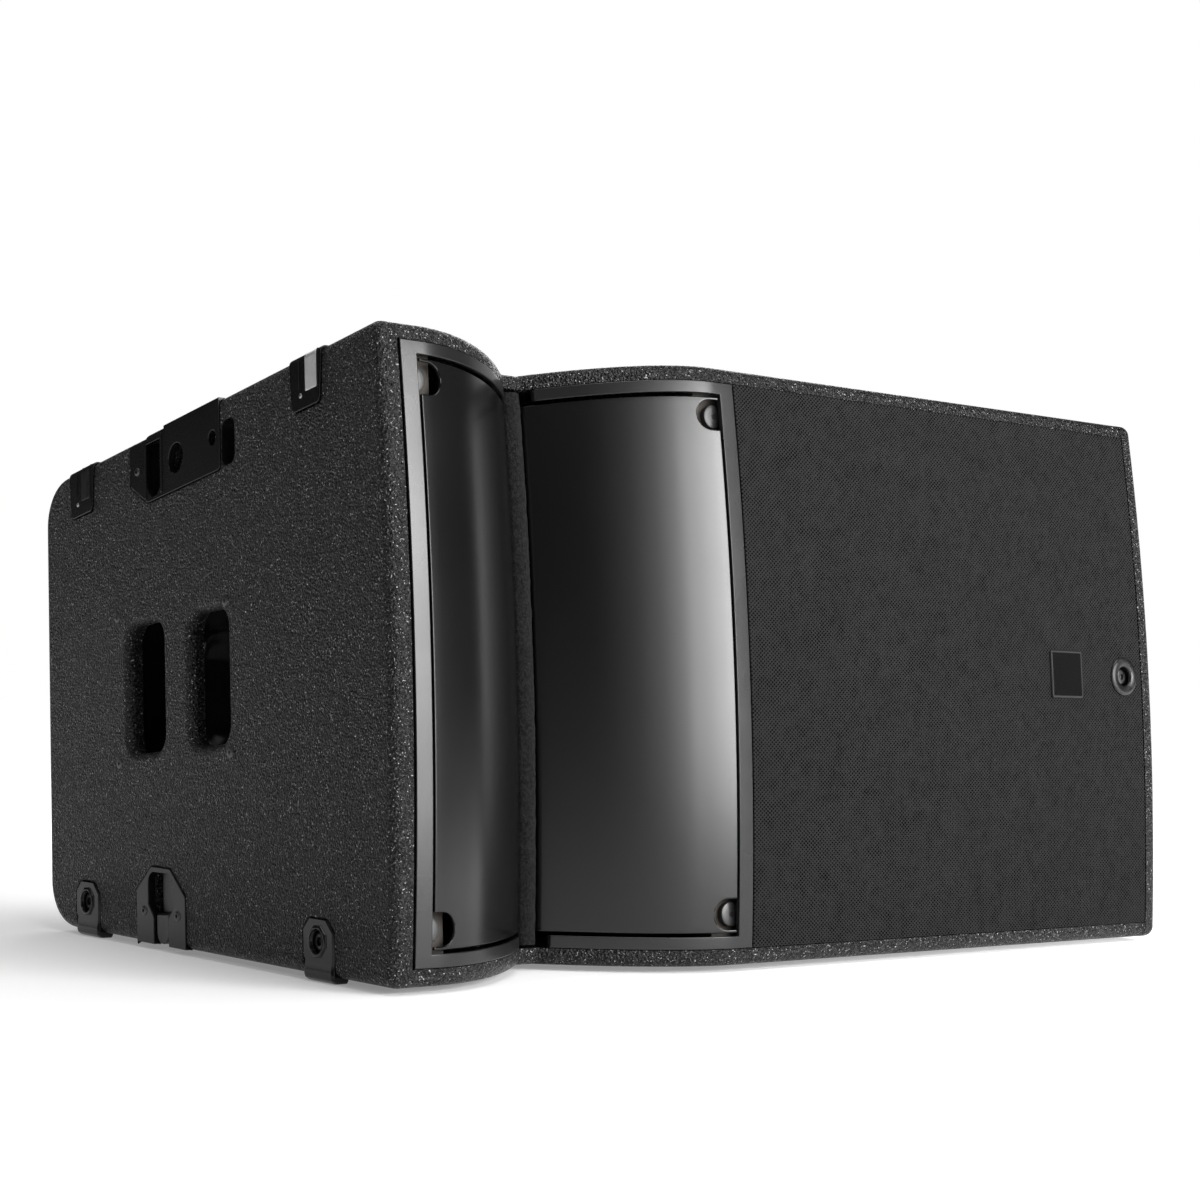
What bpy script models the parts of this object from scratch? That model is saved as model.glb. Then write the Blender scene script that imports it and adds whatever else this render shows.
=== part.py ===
"""Two-way constant-curvature line array element, built as separate solids.

The cabinet is modelled in its own frame: X runs from the horn side to the woofer side, Y from the
front to the rear, and Z up, with Z = 0 halfway up the wedge. A parent empty then leans the whole
cabinet back until its lower face is level and its four lower feet stand on Z = 0.
All sizes are in metres.
"""
import math

import bmesh
import bpy
from mathutils import Vector

# ---------------------------------------------------------------- driving sizes
WIDTH = 0.770
HEIGHT = 0.434
DEPTH = 0.484
WEDGE = math.radians(5.0)          # slope of the top face, and of the bottom face
BULGE = 0.0095                     # how far the front bows forward at mid height
SIDE_WALL = 0.015
DECK = 0.012                       # top and bottom panels
ROUND = 0.010                      # round-over on the outer edges
FRONT_ROUND = 0.0085               # front edge of the top and bottom panels
REAR_ROUND = 0.038                 # rear corners of the side profile
GAP = 0.0003                       # gap kept between parts that touch

HALF_WIDTH = WIDTH / 2
HALF_HEIGHT = HEIGHT / 2
SLOPE = math.tan(WEDGE)
INNER = HALF_WIDTH - SIDE_WALL     # inner face of each side wall, as a distance from the middle

# horn: a throat slot between two curved flares
HORN_X = -0.2215
THROAT_HALF = 0.008
FLARE_RUN = 0.120                  # width of one flare's curve
FLARE_DEPTH = 0.072
FLARE_POWER = 1.8
HORN_HALF = 0.1465
TRIM_MARGIN = 0.0125               # horn frames and grille sit this far in from the sloped faces
FRAME_BAND = 0.0135
FRAME_END_BAND = 0.0095
FLARE_GAP = 0.0018

# grille side
GRILLE_LEFT = -0.0745
GRILLE_RIGHT = INNER - 0.0005
WOOFER_X = 0.156
BAFFLE_FRONT = 0.030
BAFFLE_THICK = 0.018
DIVIDER_LEFT = -0.0725

# side hardware: places along Y and sizes
REAR_FOOT_Y = 0.416
FRONT_FOOT_Y = 0.086
FOOT_TALL = 0.038
FOOT_WIDE = 0.040
FOOT_NARROW = 0.034
FOOT_CORNER = 0.008                # chamfer of a lower foot's two upper corners
FOOT_DROP = 0.004                  # how far a lower foot stands below the cabinet's edge
FOOT_PROUD = 0.0025
RECESS = 0.0055                    # depth of the seats cut for the hardware
SEAT_GAP = 0.0005
PLATE_BACK = 0.0052
PLATE_PROUD = 0.0005
FLANGE_REACH = 0.0125              # how far a folded flange reaches over the cabinet's edge
FLANGE_THICK = 0.0030
LEDGE = 0.0035                     # depth of the step cut for a flange
OVER = 0.003                       # how far cutters run past a surface
BOLT_INSET = 0.0230
LINK_Y = 0.300
LINK_HALF = 0.0085                 # half the width of a link bar's shank
LINK_HEAD_HALF = 0.0100            # half the width of its head, in the mouth of the plate
LINK_LOW = 0.0010                  # its lower and upper ends, in from the cabinet's edge
LINK_HIGH = 0.0530
LINK_HEAD_HIGH = 0.0240
SLOT_YS = (0.226, 0.320)
SLOT_HALF_Y = 0.0270
SLOT_HALF_Z = 0.0480
SLOT_CORNER = 0.0140
HANDLE_Y = 0.2755
INPUT_X = 0.090                    # middle of the connector plate
SCREW_LEVEL = 0.1800               # height of the flare screws above and below the middle
CUP_X = 0.346                      # grille screw
BADGE_X = 0.273

FRAME = None


def start_empty_scene():
    for old in list(bpy.data.objects):
        bpy.data.objects.remove(old, do_unlink=True)


def material(name, colour, roughness, metallic=0.0):
    made = bpy.data.materials.new(name)
    made.use_nodes = True
    shader = made.node_tree.nodes["Principled BSDF"]
    shader.inputs["Base Color"].default_value = (*colour, 1.0)
    shader.inputs["Roughness"].default_value = roughness
    shader.inputs["Metallic"].default_value = metallic
    made.diffuse_color = (*colour, 1.0)
    return made


# ---------------------------------------------------------------- shapes of the cabinet
def half_height(y):
    """Half the outer height of the wedge at depth y."""
    return HALF_HEIGHT - y * SLOPE


def bulge(z):
    """How far the front edge stands forward of the corner plane at height z."""
    return BULGE * (1.0 - (z / HALF_HEIGHT) ** 2)


def flare_depth(u):
    """Depth of the horn surface at a distance u from the middle of the throat."""
    share = (u - THROAT_HALF) / FLARE_RUN
    if share >= 1.0:
        return 0.0
    return FLARE_DEPTH * (1.0 - max(share, 0.0)) ** FLARE_POWER


def arc(centre_a, centre_b, radius, start, end, steps):
    """Points of an arc, with its angles in degrees."""
    points = []
    for step in range(steps + 1):
        angle = math.radians(start + (end - start) * step / steps)
        points.append((centre_a + radius * math.cos(angle), centre_b + radius * math.sin(angle)))
    return points


def rear_corner(radius, inset, steps=6):
    """Upper rear corner of the side profile as (y, z), from the sloped face to the vertical one."""
    centre_y = DEPTH - REAR_ROUND
    centre_z = half_height(centre_y) - REAR_ROUND / math.cos(WEDGE)
    return arc(centre_y, centre_z, radius - inset, 90.0 - math.degrees(WEDGE), 0.0, steps)


def side_profile():
    """Outline of a side wall as (y, z): bowed front edge, sloped faces and round rear corners."""
    low = HALF_HEIGHT - 1.08 * FRONT_ROUND
    points = [(-bulge(z), z) for z in spread(-low, low, 14)]
    centre_y = FRONT_ROUND - bulge(low)
    front = arc(centre_y, low, FRONT_ROUND, 180.0, 90.0 - math.degrees(WEDGE), 5)
    upper = front[1:] + rear_corner(REAR_ROUND, 0.0)
    points += upper
    points += [(y, -z) for y, z in reversed(upper)]
    return list(reversed(points))


def inset_outline(points, distance):
    """Move every side of a closed anticlockwise outline inwards by the same distance."""
    moved = []
    count = len(points)
    for index, (a, b) in enumerate(points):
        before = Vector(points[index - 1])
        here = Vector((a, b))
        after = Vector(points[(index + 1) % count])
        first = (here - before).normalized()
        second = (after - here).normalized()
        normal_one = Vector((-first.y, first.x))
        normal_two = Vector((-second.y, second.x))
        middle = (normal_one + normal_two).normalized()
        stretch = distance / max(middle.dot(normal_one), 0.2)
        moved.append((a + middle.x * stretch, b + middle.y * stretch))
    return moved


# ---------------------------------------------------------------- mesh makers
def new_object(name, mesh_builder, paint, at=(0.0, 0.0, 0.0)):
    bmesh.ops.remove_doubles(mesh_builder, verts=mesh_builder.verts, dist=1e-6)
    bmesh.ops.recalc_face_normals(mesh_builder, faces=mesh_builder.faces)
    mesh = bpy.data.meshes.new(name)
    mesh_builder.to_mesh(mesh)
    mesh_builder.free()
    if paint:
        mesh.materials.append(paint)
    made = bpy.data.objects.new(name, mesh)
    bpy.context.scene.collection.objects.link(made)
    made.parent = FRAME
    made.location = at
    return made


def add_loft(builder, loops):
    """Skin closed loops of equal length one after the other and cap the first and the last."""
    rings = [[builder.verts.new(point) for point in loop] for loop in loops]
    count = len(rings[0])
    for ring, following in zip(rings, rings[1:]):
        for i in range(count):
            j = (i + 1) % count
            builder.faces.new((ring[i], ring[j], following[j], following[i]))
    builder.faces.new(rings[0])
    builder.faces.new(list(reversed(rings[-1])))


def loft(name, loops, paint, at=(0.0, 0.0, 0.0)):
    builder = bmesh.new()
    add_loft(builder, loops)
    return new_object(name, builder, paint, at)


def place(axis, level, a, b):
    """A point from its level along an axis and its two other coordinates in X, Y, Z order."""
    if axis == "x":
        return (level, a, b)
    if axis == "y":
        return (a, level, b)
    return (a, b, level)


def prism_loops(axis, outline, low, high):
    return [[place(axis, level, a, b) for a, b in outline] for level in (low, high)]


def prism(name, axis, outline, low, high, paint, at=(0.0, 0.0, 0.0)):
    return loft(name, prism_loops(axis, outline, low, high), paint, at)


def rectangle(a0, a1, b0, b1):
    return [(a0, b0), (a1, b0), (a1, b1), (a0, b1)]


def circle(a, b, radius, steps=24):
    return arc(a, b, radius, 0.0, 360.0 * (steps - 1) / steps, steps - 1)


def rounded_rectangle(a, b, half_a, half_b, radius, steps=5):
    points = []
    corners = ((1, 1, 0), (-1, 1, 90), (-1, -1, 180), (1, -1, 270))
    for sign_a, sign_b, start in corners:
        centre_a = a + sign_a * (half_a - radius)
        centre_b = b + sign_b * (half_b - radius)
        points += arc(centre_a, centre_b, radius, start, start + 90, steps)
    return points


def add_revolved(builder, profile, steps):
    """Turn a closed profile of (radius, y) points about the Y axis."""
    rings = []
    for radius, y in profile:
        if radius < 1e-7:
            rings.append([builder.verts.new((0.0, y, 0.0))] * steps)
            continue
        ring = []
        for step in range(steps):
            angle = math.tau * step / steps
            ring.append(builder.verts.new((radius * math.cos(angle), y, radius * math.sin(angle))))
        rings.append(ring)
    for ring, following in zip(rings, rings[1:] + rings[:1]):
        for i in range(steps):
            j = (i + 1) % steps
            corners = []
            for vertex in (ring[i], ring[j], following[j], following[i]):
                if vertex not in corners:
                    corners.append(vertex)
            if len(corners) > 2:
                builder.faces.new(corners)


def revolved(name, profile, paint, at, steps=36):
    builder = bmesh.new()
    add_revolved(builder, profile, steps)
    return new_object(name, builder, paint, at)


def sheet(name, us, vs, surface, thickness, paint, keep=None):
    """A closed sheet of even depth: surface(u, v) is its front, and keep(i, j) leaves windows."""
    builder = bmesh.new()
    front = {}
    back = {}
    for i, u in enumerate(us):
        for j, v in enumerate(vs):
            x, y, z = surface(u, v)
            front[i, j] = (x, y, z)
            back[i, j] = (x, y + thickness, z)
    kept = set()
    for i in range(len(us) - 1):
        for j in range(len(vs) - 1):
            if keep is None or keep(i, j):
                kept.add((i, j))
    vertices = {}

    def vertex(layer, key):
        if (id(layer), key) not in vertices:
            vertices[id(layer), key] = builder.verts.new(layer[key])
        return vertices[id(layer), key]

    for i, j in sorted(kept):
        corners = [(i, j), (i + 1, j), (i + 1, j + 1), (i, j + 1)]
        builder.faces.new([vertex(front, key) for key in corners])
        builder.faces.new([vertex(back, key) for key in reversed(corners)])
        neighbours = [(i, j - 1), (i + 1, j), (i, j + 1), (i - 1, j)]
        for side, neighbour in enumerate(neighbours):
            if neighbour in kept:
                continue
            first = corners[side]
            second = corners[(side + 1) % 4]
            builder.faces.new((vertex(front, second), vertex(front, first),
                               vertex(back, first), vertex(back, second)))
    return new_object(name, builder, paint)


def helper(name, loop_sets):
    """A hidden solid for Boolean cuts, made of one or more separate lofts."""
    builder = bmesh.new()
    for loops in loop_sets:
        add_loft(builder, loops)
    made = new_object(name, builder, None)
    made.hide_render = True
    made.display_type = "WIRE"
    return made


def boolean(target, tool, operation="DIFFERENCE"):
    modifier = target.modifiers.new(operation.lower(), "BOOLEAN")
    modifier.operation = operation
    modifier.solver = "EXACT"
    modifier.object = tool


def spread(low, high, count):
    return [low + (high - low) * step / count for step in range(count + 1)]


# ---------------------------------------------------------------- cabinet panels
def side_x(side, depth):
    """World-side X of a point a given depth in from the outer face of a side wall."""
    return side * (HALF_WIDTH - depth)


def edge_outline(edge, points):
    """Turn (y, distance in from the sloped edge) points into (y, z); edge is +1 top, -1 bottom."""
    return [(y, edge * (half_height(y) - inset)) for y, inset in points]


def side_prism(side, outline, depth_low, depth_high):
    return prism_loops("x", outline, side_x(side, depth_low), side_x(side, depth_high))


def upper_foot_points(centre_y, grow=0.0, overrun=0.0):
    """Tapered outline as (y, inset): wide at the cabinet's edge, narrow at its inner end."""
    narrow = FOOT_NARROW / 2 + grow
    tall = FOOT_TALL + grow
    wide = FOOT_WIDE / 2 + grow + overrun * (FOOT_WIDE - FOOT_NARROW) / (2 * FOOT_TALL)
    return [(centre_y - wide, -overrun), (centre_y - narrow, tall),
            (centre_y + narrow, tall), (centre_y + wide, -overrun)]


def lower_foot_points(centre_y, grow=0.0, overrun=0.0):
    """Straight outline as (y, inset) with two chamfered corners at its inner end."""
    half = FOOT_WIDE / 2 - 0.001 + grow
    tall = FOOT_TALL + grow
    shoulder = FOOT_TALL - FOOT_CORNER + grow / 2
    top = FOOT_WIDE / 2 - 0.001 - FOOT_CORNER + grow / 2
    return [(centre_y - half, -overrun), (centre_y - half, shoulder), (centre_y - top, tall),
            (centre_y + top, tall), (centre_y + half, shoulder), (centre_y + half, -overrun)]


def top_plate_points(grow=0.0, overrun=0.0):
    """Outline of the upper rigging plate as (y, inset)."""
    return [(0.203 - grow, -overrun), (0.203 - grow, 0.052 + grow), (0.310 + grow, 0.052 + grow),
            (0.337 + grow, 0.034 + grow), (0.337 + grow, -overrun)]


def bottom_plate_points(grow=0.0, overrun=0.0):
    """Outline of the lower rigging plate as (y, inset), with its two chamfered corners."""
    return [(0.264 - grow, -overrun), (0.264 - grow, 0.038 + grow), (0.286, 0.057 + grow),
            (0.314, 0.057 + grow), (0.337 + grow, 0.038 + grow), (0.337 + grow, -overrun)]


def make_side_wall(name, side, paint):
    outline = side_profile()
    loops = []
    for turn in spread(0.0, math.pi / 2, 4):
        ring = inset_outline(outline, ROUND * (1.0 - math.sin(turn)))
        loops.append([(side_x(side, ROUND * (1.0 - math.cos(turn))), y, z) for y, z in ring])
    loops.append([(side_x(side, SIDE_WALL), y, z) for y, z in outline])
    builder = bmesh.new()
    add_loft(builder, loops)
    wall = new_object(name, builder, paint)

    shallow = []
    flanges = []
    for foot_y in (FRONT_FOOT_Y, REAR_FOOT_Y):
        for edge, points in ((1, upper_foot_points), (-1, lower_foot_points)):
            seat = edge_outline(edge, points(foot_y, SEAT_GAP, OVER))
            shallow.append(side_prism(side, seat, -OVER, RECESS))
            half = FOOT_WIDE / 2 + 0.0009
            ledge = rectangle(foot_y - half, foot_y + half, -OVER, LEDGE)
            flanges.append(side_prism(side, edge_outline(edge, ledge), RECESS / 2, FLANGE_REACH + SEAT_GAP))
    for edge, points, low, high in ((1, top_plate_points, 0.2019, 0.2845),
                                    (-1, bottom_plate_points, 0.2629, 0.3381)):
        seat = edge_outline(edge, points(SEAT_GAP, OVER))
        shallow.append(side_prism(side, seat, -OVER, RECESS))
        ledge = rectangle(low, high, -OVER, LEDGE)
        flanges.append(side_prism(side, edge_outline(edge, ledge), RECESS / 2, FLANGE_REACH + SEAT_GAP))
    boolean(wall, helper(name + "_seats", shallow))
    boolean(wall, helper(name + "_ledges", flanges))

    deep = []
    pocket_depth = 0.0132
    pockets = ((1, rectangle(0.2870, 0.3130, 0.0060, 0.0500)),
               (1, circle(0.267, 0.0285, 0.0120)),
               (1, circle(0.2135, 0.0270, 0.0060)),
               (-1, rectangle(LINK_Y - 0.0180, LINK_Y + 0.0180, -OVER, 0.0545)))
    for edge, points in pockets:
        deep.append(side_prism(side, edge_outline(edge, points), RECESS / 2, pocket_depth))
    end_pocket = rounded_rectangle(0.1925, 0.0345, 0.0095, 0.0165, 0.007)
    deep.append(side_prism(side, edge_outline(1, end_pocket), -OVER, 0.0115))
    boolean(wall, helper(name + "_pockets", deep))

    slots = []
    for slot_y in SLOT_YS:
        loops = []
        for depth, grow in ((-OVER, 0.0060), (0.0, 0.0060), (0.0008, 0.0030), (0.0030, 0.0008),
                            (0.0060, 0.0), (SIDE_WALL + 0.002, 0.0)):
            ring = rounded_rectangle(slot_y, 0.0, SLOT_HALF_Y + grow, SLOT_HALF_Z + grow,
                                     SLOT_CORNER + grow)
            loops.append([(side_x(side, depth), y, z) for y, z in ring])
        slots.append(loops)
    boolean(wall, helper(name + "_slots", slots))
    return wall


def front_contour():
    """Front edge of the top and bottom panels as (x, y), from the horn side to the woofer side."""
    points = [(-INNER + GAP, 0.0)]
    shares = spread(0.0, 1.0, 14)
    for share in reversed(shares):
        u = THROAT_HALF + FLARE_RUN * share
        points.append((HORN_X - u, flare_depth(u)))
    for share in shares:
        u = THROAT_HALF + FLARE_RUN * share
        points.append((HORN_X + u, flare_depth(u)))
    points.append((INNER - GAP, 0.0))
    return points


def make_deck(name, edge, paint):
    """Top (edge +1) or bottom (edge -1) panel, with its front edge cut to the horn's contour."""
    contour = front_contour()
    rear_y = DEPTH - REAR_ROUND - GAP
    profile = [(0.0, DECK), (0.0, FRONT_ROUND)]
    for angle in (22.5, 45.0, 67.5, 90.0):
        turn = math.radians(angle)
        profile.append((FRONT_ROUND * (1.0 - math.cos(turn)), FRONT_ROUND * (1.0 - math.sin(turn))))
    builder = bmesh.new()
    rows = []
    for setback, inset in profile:
        row = []
        for x, y in contour:
            deep = y + setback
            row.append(builder.verts.new((x, deep, edge * (half_height(deep) - inset))))
        rows.append(row)
    for row, following in zip(rows, rows[1:]):
        for i in range(len(contour) - 1):
            builder.faces.new((row[i], row[i + 1], following[i + 1], following[i]))
    corners = {}
    for end, x in ((0, contour[0][0]), (1, contour[-1][0])):
        for level, inset in ((0, DECK), (1, 0.0)):
            corners[end, level] = builder.verts.new((x, rear_y, edge * (half_height(rear_y) - inset)))
    builder.faces.new(rows[0] + [corners[1, 0], corners[0, 0]])
    builder.faces.new(rows[-1] + [corners[1, 1], corners[0, 1]])
    builder.faces.new([corners[0, 0], corners[1, 0], corners[1, 1], corners[0, 1]])
    for end, index in ((0, 0), (1, -1)):
        builder.faces.new([row[index] for row in rows] + [corners[end, 1], corners[end, 0]])
    return new_object(name, builder, paint)


def make_rear_panel(paint):
    outer = rear_corner(REAR_ROUND, 0.0)
    inner = rear_corner(REAR_ROUND, SIDE_WALL)
    outline = outer + [(y, -z) for y, z in reversed(outer)]
    outline += [(y, -z) for y, z in inner] + list(reversed(inner))
    panel = prism("rear_panel", "x", outline, -INNER + GAP, INNER - GAP, paint)
    window = rounded_rectangle(INPUT_X, 0.0, 0.085, 0.048, 0.006)
    boolean(panel, helper("input_window", [prism_loops("y", window, DEPTH - 0.030, DEPTH + 0.010)]))
    seat = rounded_rectangle(INPUT_X, 0.0, 0.1005, 0.0605, 0.0085)
    boolean(panel, helper("input_seat", [prism_loops("y", seat, DEPTH - 0.0055, DEPTH + 0.010)]))
    return panel


def cross_outline(y0, y1):
    """Section of an inner panel between the two sloped faces as (y, z)."""
    clear = DECK / math.cos(WEDGE) + GAP
    return [(y0, -half_height(y0) + clear), (y1, -half_height(y1) + clear),
            (y1, half_height(y1) - clear), (y0, half_height(y0) - clear)]


def make_cabinet(coat, ply):
    make_side_wall("side_wall_left", -1, coat)
    make_side_wall("side_wall_right", 1, coat)
    make_deck("top_panel", 1, coat)
    make_deck("bottom_panel", -1, coat)
    make_rear_panel(coat)
    divider_right = DIVIDER_LEFT + SIDE_WALL
    rear_y = DEPTH - REAR_ROUND - 0.006
    prism("horn_divider", "x", cross_outline(0.008, rear_y), DIVIDER_LEFT, divider_right, ply)
    baffle_rear = BAFFLE_FRONT + BAFFLE_THICK
    baffle = prism("woofer_baffle", "x", cross_outline(BAFFLE_FRONT, baffle_rear),
                   divider_right + GAP, INNER - GAP, ply)
    hole = circle(WOOFER_X, 0.0, 0.177, 48)
    boolean(baffle, helper("woofer_hole", [prism_loops("y", hole, 0.020, 0.060)]))
    batten = prism("grille_batten", "x", cross_outline(0.0055, BAFFLE_FRONT - GAP),
                   INNER - 0.0190, INNER - GAP, ply)
    return baffle, batten


# ---------------------------------------------------------------- horn
def trim_half(y):
    """Half height of a horn frame or grille where its surface lies at depth y."""
    return half_height(y) - TRIM_MARGIN


def horn_surface(side, setback):
    """Point on the horn's front surface from u, out from the throat, and v, from -1 to 1."""
    def point(u, v):
        y = flare_depth(u)
        z = v * trim_half(y)
        return (HORN_X + side * u, y - bulge(z) + setback, z)
    return point


def make_horn(trim, flare_paint, foam, ply, steel):
    outer = HORN_HALF - 0.0005
    window = HORN_HALF - FRAME_BAND
    throat_edge = THROAT_HALF + 0.0004
    band_start = THROAT_HALF + 0.0055
    end_band = FRAME_END_BAND / HALF_HEIGHT
    us = spread(band_start, window, 14) + [outer]
    vs = [-1.0] + spread(-1.0 + end_band, 1.0 - end_band, 14) + [1.0]

    def border(i, j):
        return i == len(us) - 2 or j in (0, len(vs) - 2)

    flare_us = spread(throat_edge, window - FLARE_GAP, 15)
    reach = 1.0 - end_band - FLARE_GAP / HALF_HEIGHT
    flare_vs = spread(-reach, reach, 12)
    batten_front = 0.0100
    for side, label in ((-1, "left"), (1, "right")):
        sheet("horn_frame_" + label, us, vs, horn_surface(side, 0.0005), 0.004, trim, border)
        flare = sheet("horn_flare_" + label, flare_us, flare_vs, horn_surface(side, 0.0018), 0.003,
                      flare_paint)
        boss_u = window - FLARE_GAP
        notches = []
        for end in (1, -1):
            level = end * SCREW_LEVEL
            reach_out = HORN_X + side * (boss_u + 0.004)
            centre = HORN_X + side * (boss_u - 0.0075)
            start = 90.0 if side > 0 else -90.0
            ring = arc(centre, level, 0.0110, start, start + 180.0, 10)
            ring = ring + [(reach_out, ring[-1][1]), (reach_out, ring[0][1])]
            notches.append(prism_loops("y", ring, -0.02, 0.03))
            profile = [(0.0, 0.0), (0.0085, 0.0), (0.0085, 0.0025), (0.0028, 0.0025),
                       (0.0028, 0.0160), (0.0, 0.0160)]
            name = "flare_screw_" + label + ("_upper" if end > 0 else "_lower")
            revolved(name, profile, steel, (HORN_X + side * boss_u, 0.0054, level), 24)
        boolean(flare, helper("flare_notches_" + label, notches))
        far = HORN_X + side * (HORN_HALF + 0.0020)
        near = HORN_X + side * (HORN_HALF - 0.0300)
        batten = prism("horn_batten_" + label, "x", cross_outline(batten_front, 0.0300),
                       min(near, far), max(near, far), ply)
        pilots = []
        for end in (1, -1):
            ring = circle(HORN_X + side * boss_u, end * SCREW_LEVEL, 0.0032, 16)
            pilots.append(prism_loops("y", ring, 0.005, 0.0260))
        boolean(batten, helper("flare_pilots_" + label, pilots))

    strip_half = THROAT_HALF - 0.0004
    levels = spread(-1.0, 1.0, 14)

    def strip_surface(u, v):
        z = v * trim_half(FLARE_DEPTH + 0.022)
        return (HORN_X + u, FLARE_DEPTH + 0.003 - bulge(z), z)

    sheet("throat_foam", spread(-strip_half, strip_half, 2), levels, strip_surface, 0.016, foam)


def make_high_driver(plastic, metal, cover_paint, diaphragm_paint):
    front = FLARE_DEPTH + 0.020
    rear = 0.200
    outline = [(front, -0.186), (rear, -0.045), (rear, 0.045), (front, 0.186)]
    guide = prism("waveguide", "x", outline, HORN_X - 0.022, HORN_X + 0.022, plastic)
    slot = [(front - 0.001, -0.176), (rear - 0.008, -0.018), (rear - 0.008, 0.018), (front - 0.001, 0.176)]
    tunnel = prism_loops("x", slot, HORN_X - THROAT_HALF + 0.001, HORN_X + THROAT_HALF - 0.001)
    boolean(guide, helper("waveguide_slot", [tunnel]))
    mouth = prism_loops("y", circle(HORN_X, 0.0, 0.017), rear - 0.010, rear + 0.002)
    boolean(guide, helper("waveguide_throat", [mouth]))

    at = (HORN_X, rear + GAP, 0.0)
    body = [(0.018, 0.0), (0.070, 0.0), (0.070, 0.006), (0.078, 0.010), (0.078, 0.048),
            (0.050, 0.048), (0.050, 0.034), (0.018, 0.034)]
    revolved("hf_driver_body", body, metal, at)
    cover = [(0.0, 0.0483), (0.076, 0.0483), (0.076, 0.062), (0.070, 0.070), (0.0, 0.070)]
    revolved("hf_driver_cover", cover, cover_paint, at)
    dome = [(0.046, 0.0400), (0.041, 0.0390), (0.039, 0.0410), (0.026, 0.0380), (0.0, 0.0365),
            (0.0, 0.0372), (0.026, 0.0387), (0.0385, 0.0418), (0.0415, 0.0398), (0.046, 0.0408)]
    revolved("hf_diaphragm", dome, diaphragm_paint, at)


# ---------------------------------------------------------------- woofer
def make_woofer(casting, magnet, rubber, paper, copper, cloth):
    at = (WOOFER_X, 0.0, 0.0)
    basket_profile = [(0.1640, 0.0240), (0.1940, 0.0240), (0.1940, 0.0297), (0.1730, 0.0297),
                      (0.1710, 0.0480), (0.0940, 0.1120), (0.0940, 0.1290), (0.0420, 0.1290),
                      (0.0420, 0.1250), (0.0890, 0.1250), (0.0890, 0.1090), (0.1640, 0.0440)]
    basket = revolved("woofer_basket", basket_profile, casting, at, 48)
    windows = []
    for index in range(6):
        angle = math.tau * index / 6
        loops = []
        for radius, half in ((0.098, 0.022), (0.190, 0.050)):
            loop = []
            for across, y in ((-half, 0.058), (half, 0.058), (half, 0.102), (-half, 0.102)):
                x = WOOFER_X + radius * math.cos(angle) - across * math.sin(angle)
                z = radius * math.sin(angle) + across * math.cos(angle)
                loop.append((x, y, z))
            loops.append(loop)
        windows.append(loops)
    boolean(basket, helper("basket_windows", windows))

    magnet_profile = [(0.0, 0.1293), (0.0345, 0.1293), (0.0345, 0.1800), (0.0395, 0.1800),
                      (0.0395, 0.1293), (0.0950, 0.1293), (0.0950, 0.1400), (0.1000, 0.1420),
                      (0.1000, 0.1780), (0.0950, 0.1800), (0.0950, 0.1950), (0.0, 0.1950)]
    revolved("woofer_magnet", magnet_profile, magnet, at, 40)

    roll = [(0.1402, 0.0215), (0.1435, 0.0200)]
    roll += [(0.1520 - 0.0085 * math.cos(t), 0.0200 - 0.0070 * math.sin(t))
             for t in (math.pi * step / 6 for step in range(1, 6))]
    roll += [(0.1605, 0.0200), (0.1680, 0.0215), (0.1680, 0.0237), (0.1600, 0.0237)]
    roll += [(0.1520 - 0.0070 * math.cos(t), 0.0215 - 0.0060 * math.sin(t))
             for t in (math.pi - math.pi * step / 6 for step in range(0, 7))]
    roll += [(0.1402, 0.0230)]
    revolved("woofer_surround", roll, rubber, at)

    cone = [(0.1397, 0.0210), (0.1397, 0.0230), (0.0900, 0.0590), (0.0385, 0.0940), (0.0385, 0.0915),
            (0.0900, 0.0570)]
    revolved("woofer_cone", cone, paper, at)
    cap = [(0.0, 0.0590), (0.0200, 0.0615), (0.0380, 0.0690), (0.0520, 0.0800), (0.0520, 0.0815),
           (0.0505, 0.0815), (0.0370, 0.0706), (0.0190, 0.0630), (0.0, 0.0605)]
    revolved("woofer_dust_cap", cap, paper, at)
    coil = [(0.0360, 0.0900), (0.0378, 0.0900), (0.0378, 0.1500), (0.0360, 0.1500)]
    revolved("woofer_voice_coil", coil, copper, at)
    front = []
    rings = 8
    for step in range(rings + 1):
        radius = 0.0390 + (0.0880 - 0.0390) * step / rings
        front.append((radius, 0.1080 + (0.0020 if step % 2 else 0.0)))
    back = [(radius, y + 0.0012) for radius, y in reversed(front)]
    revolved("woofer_spider", front + back, cloth, at, 28)


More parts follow.
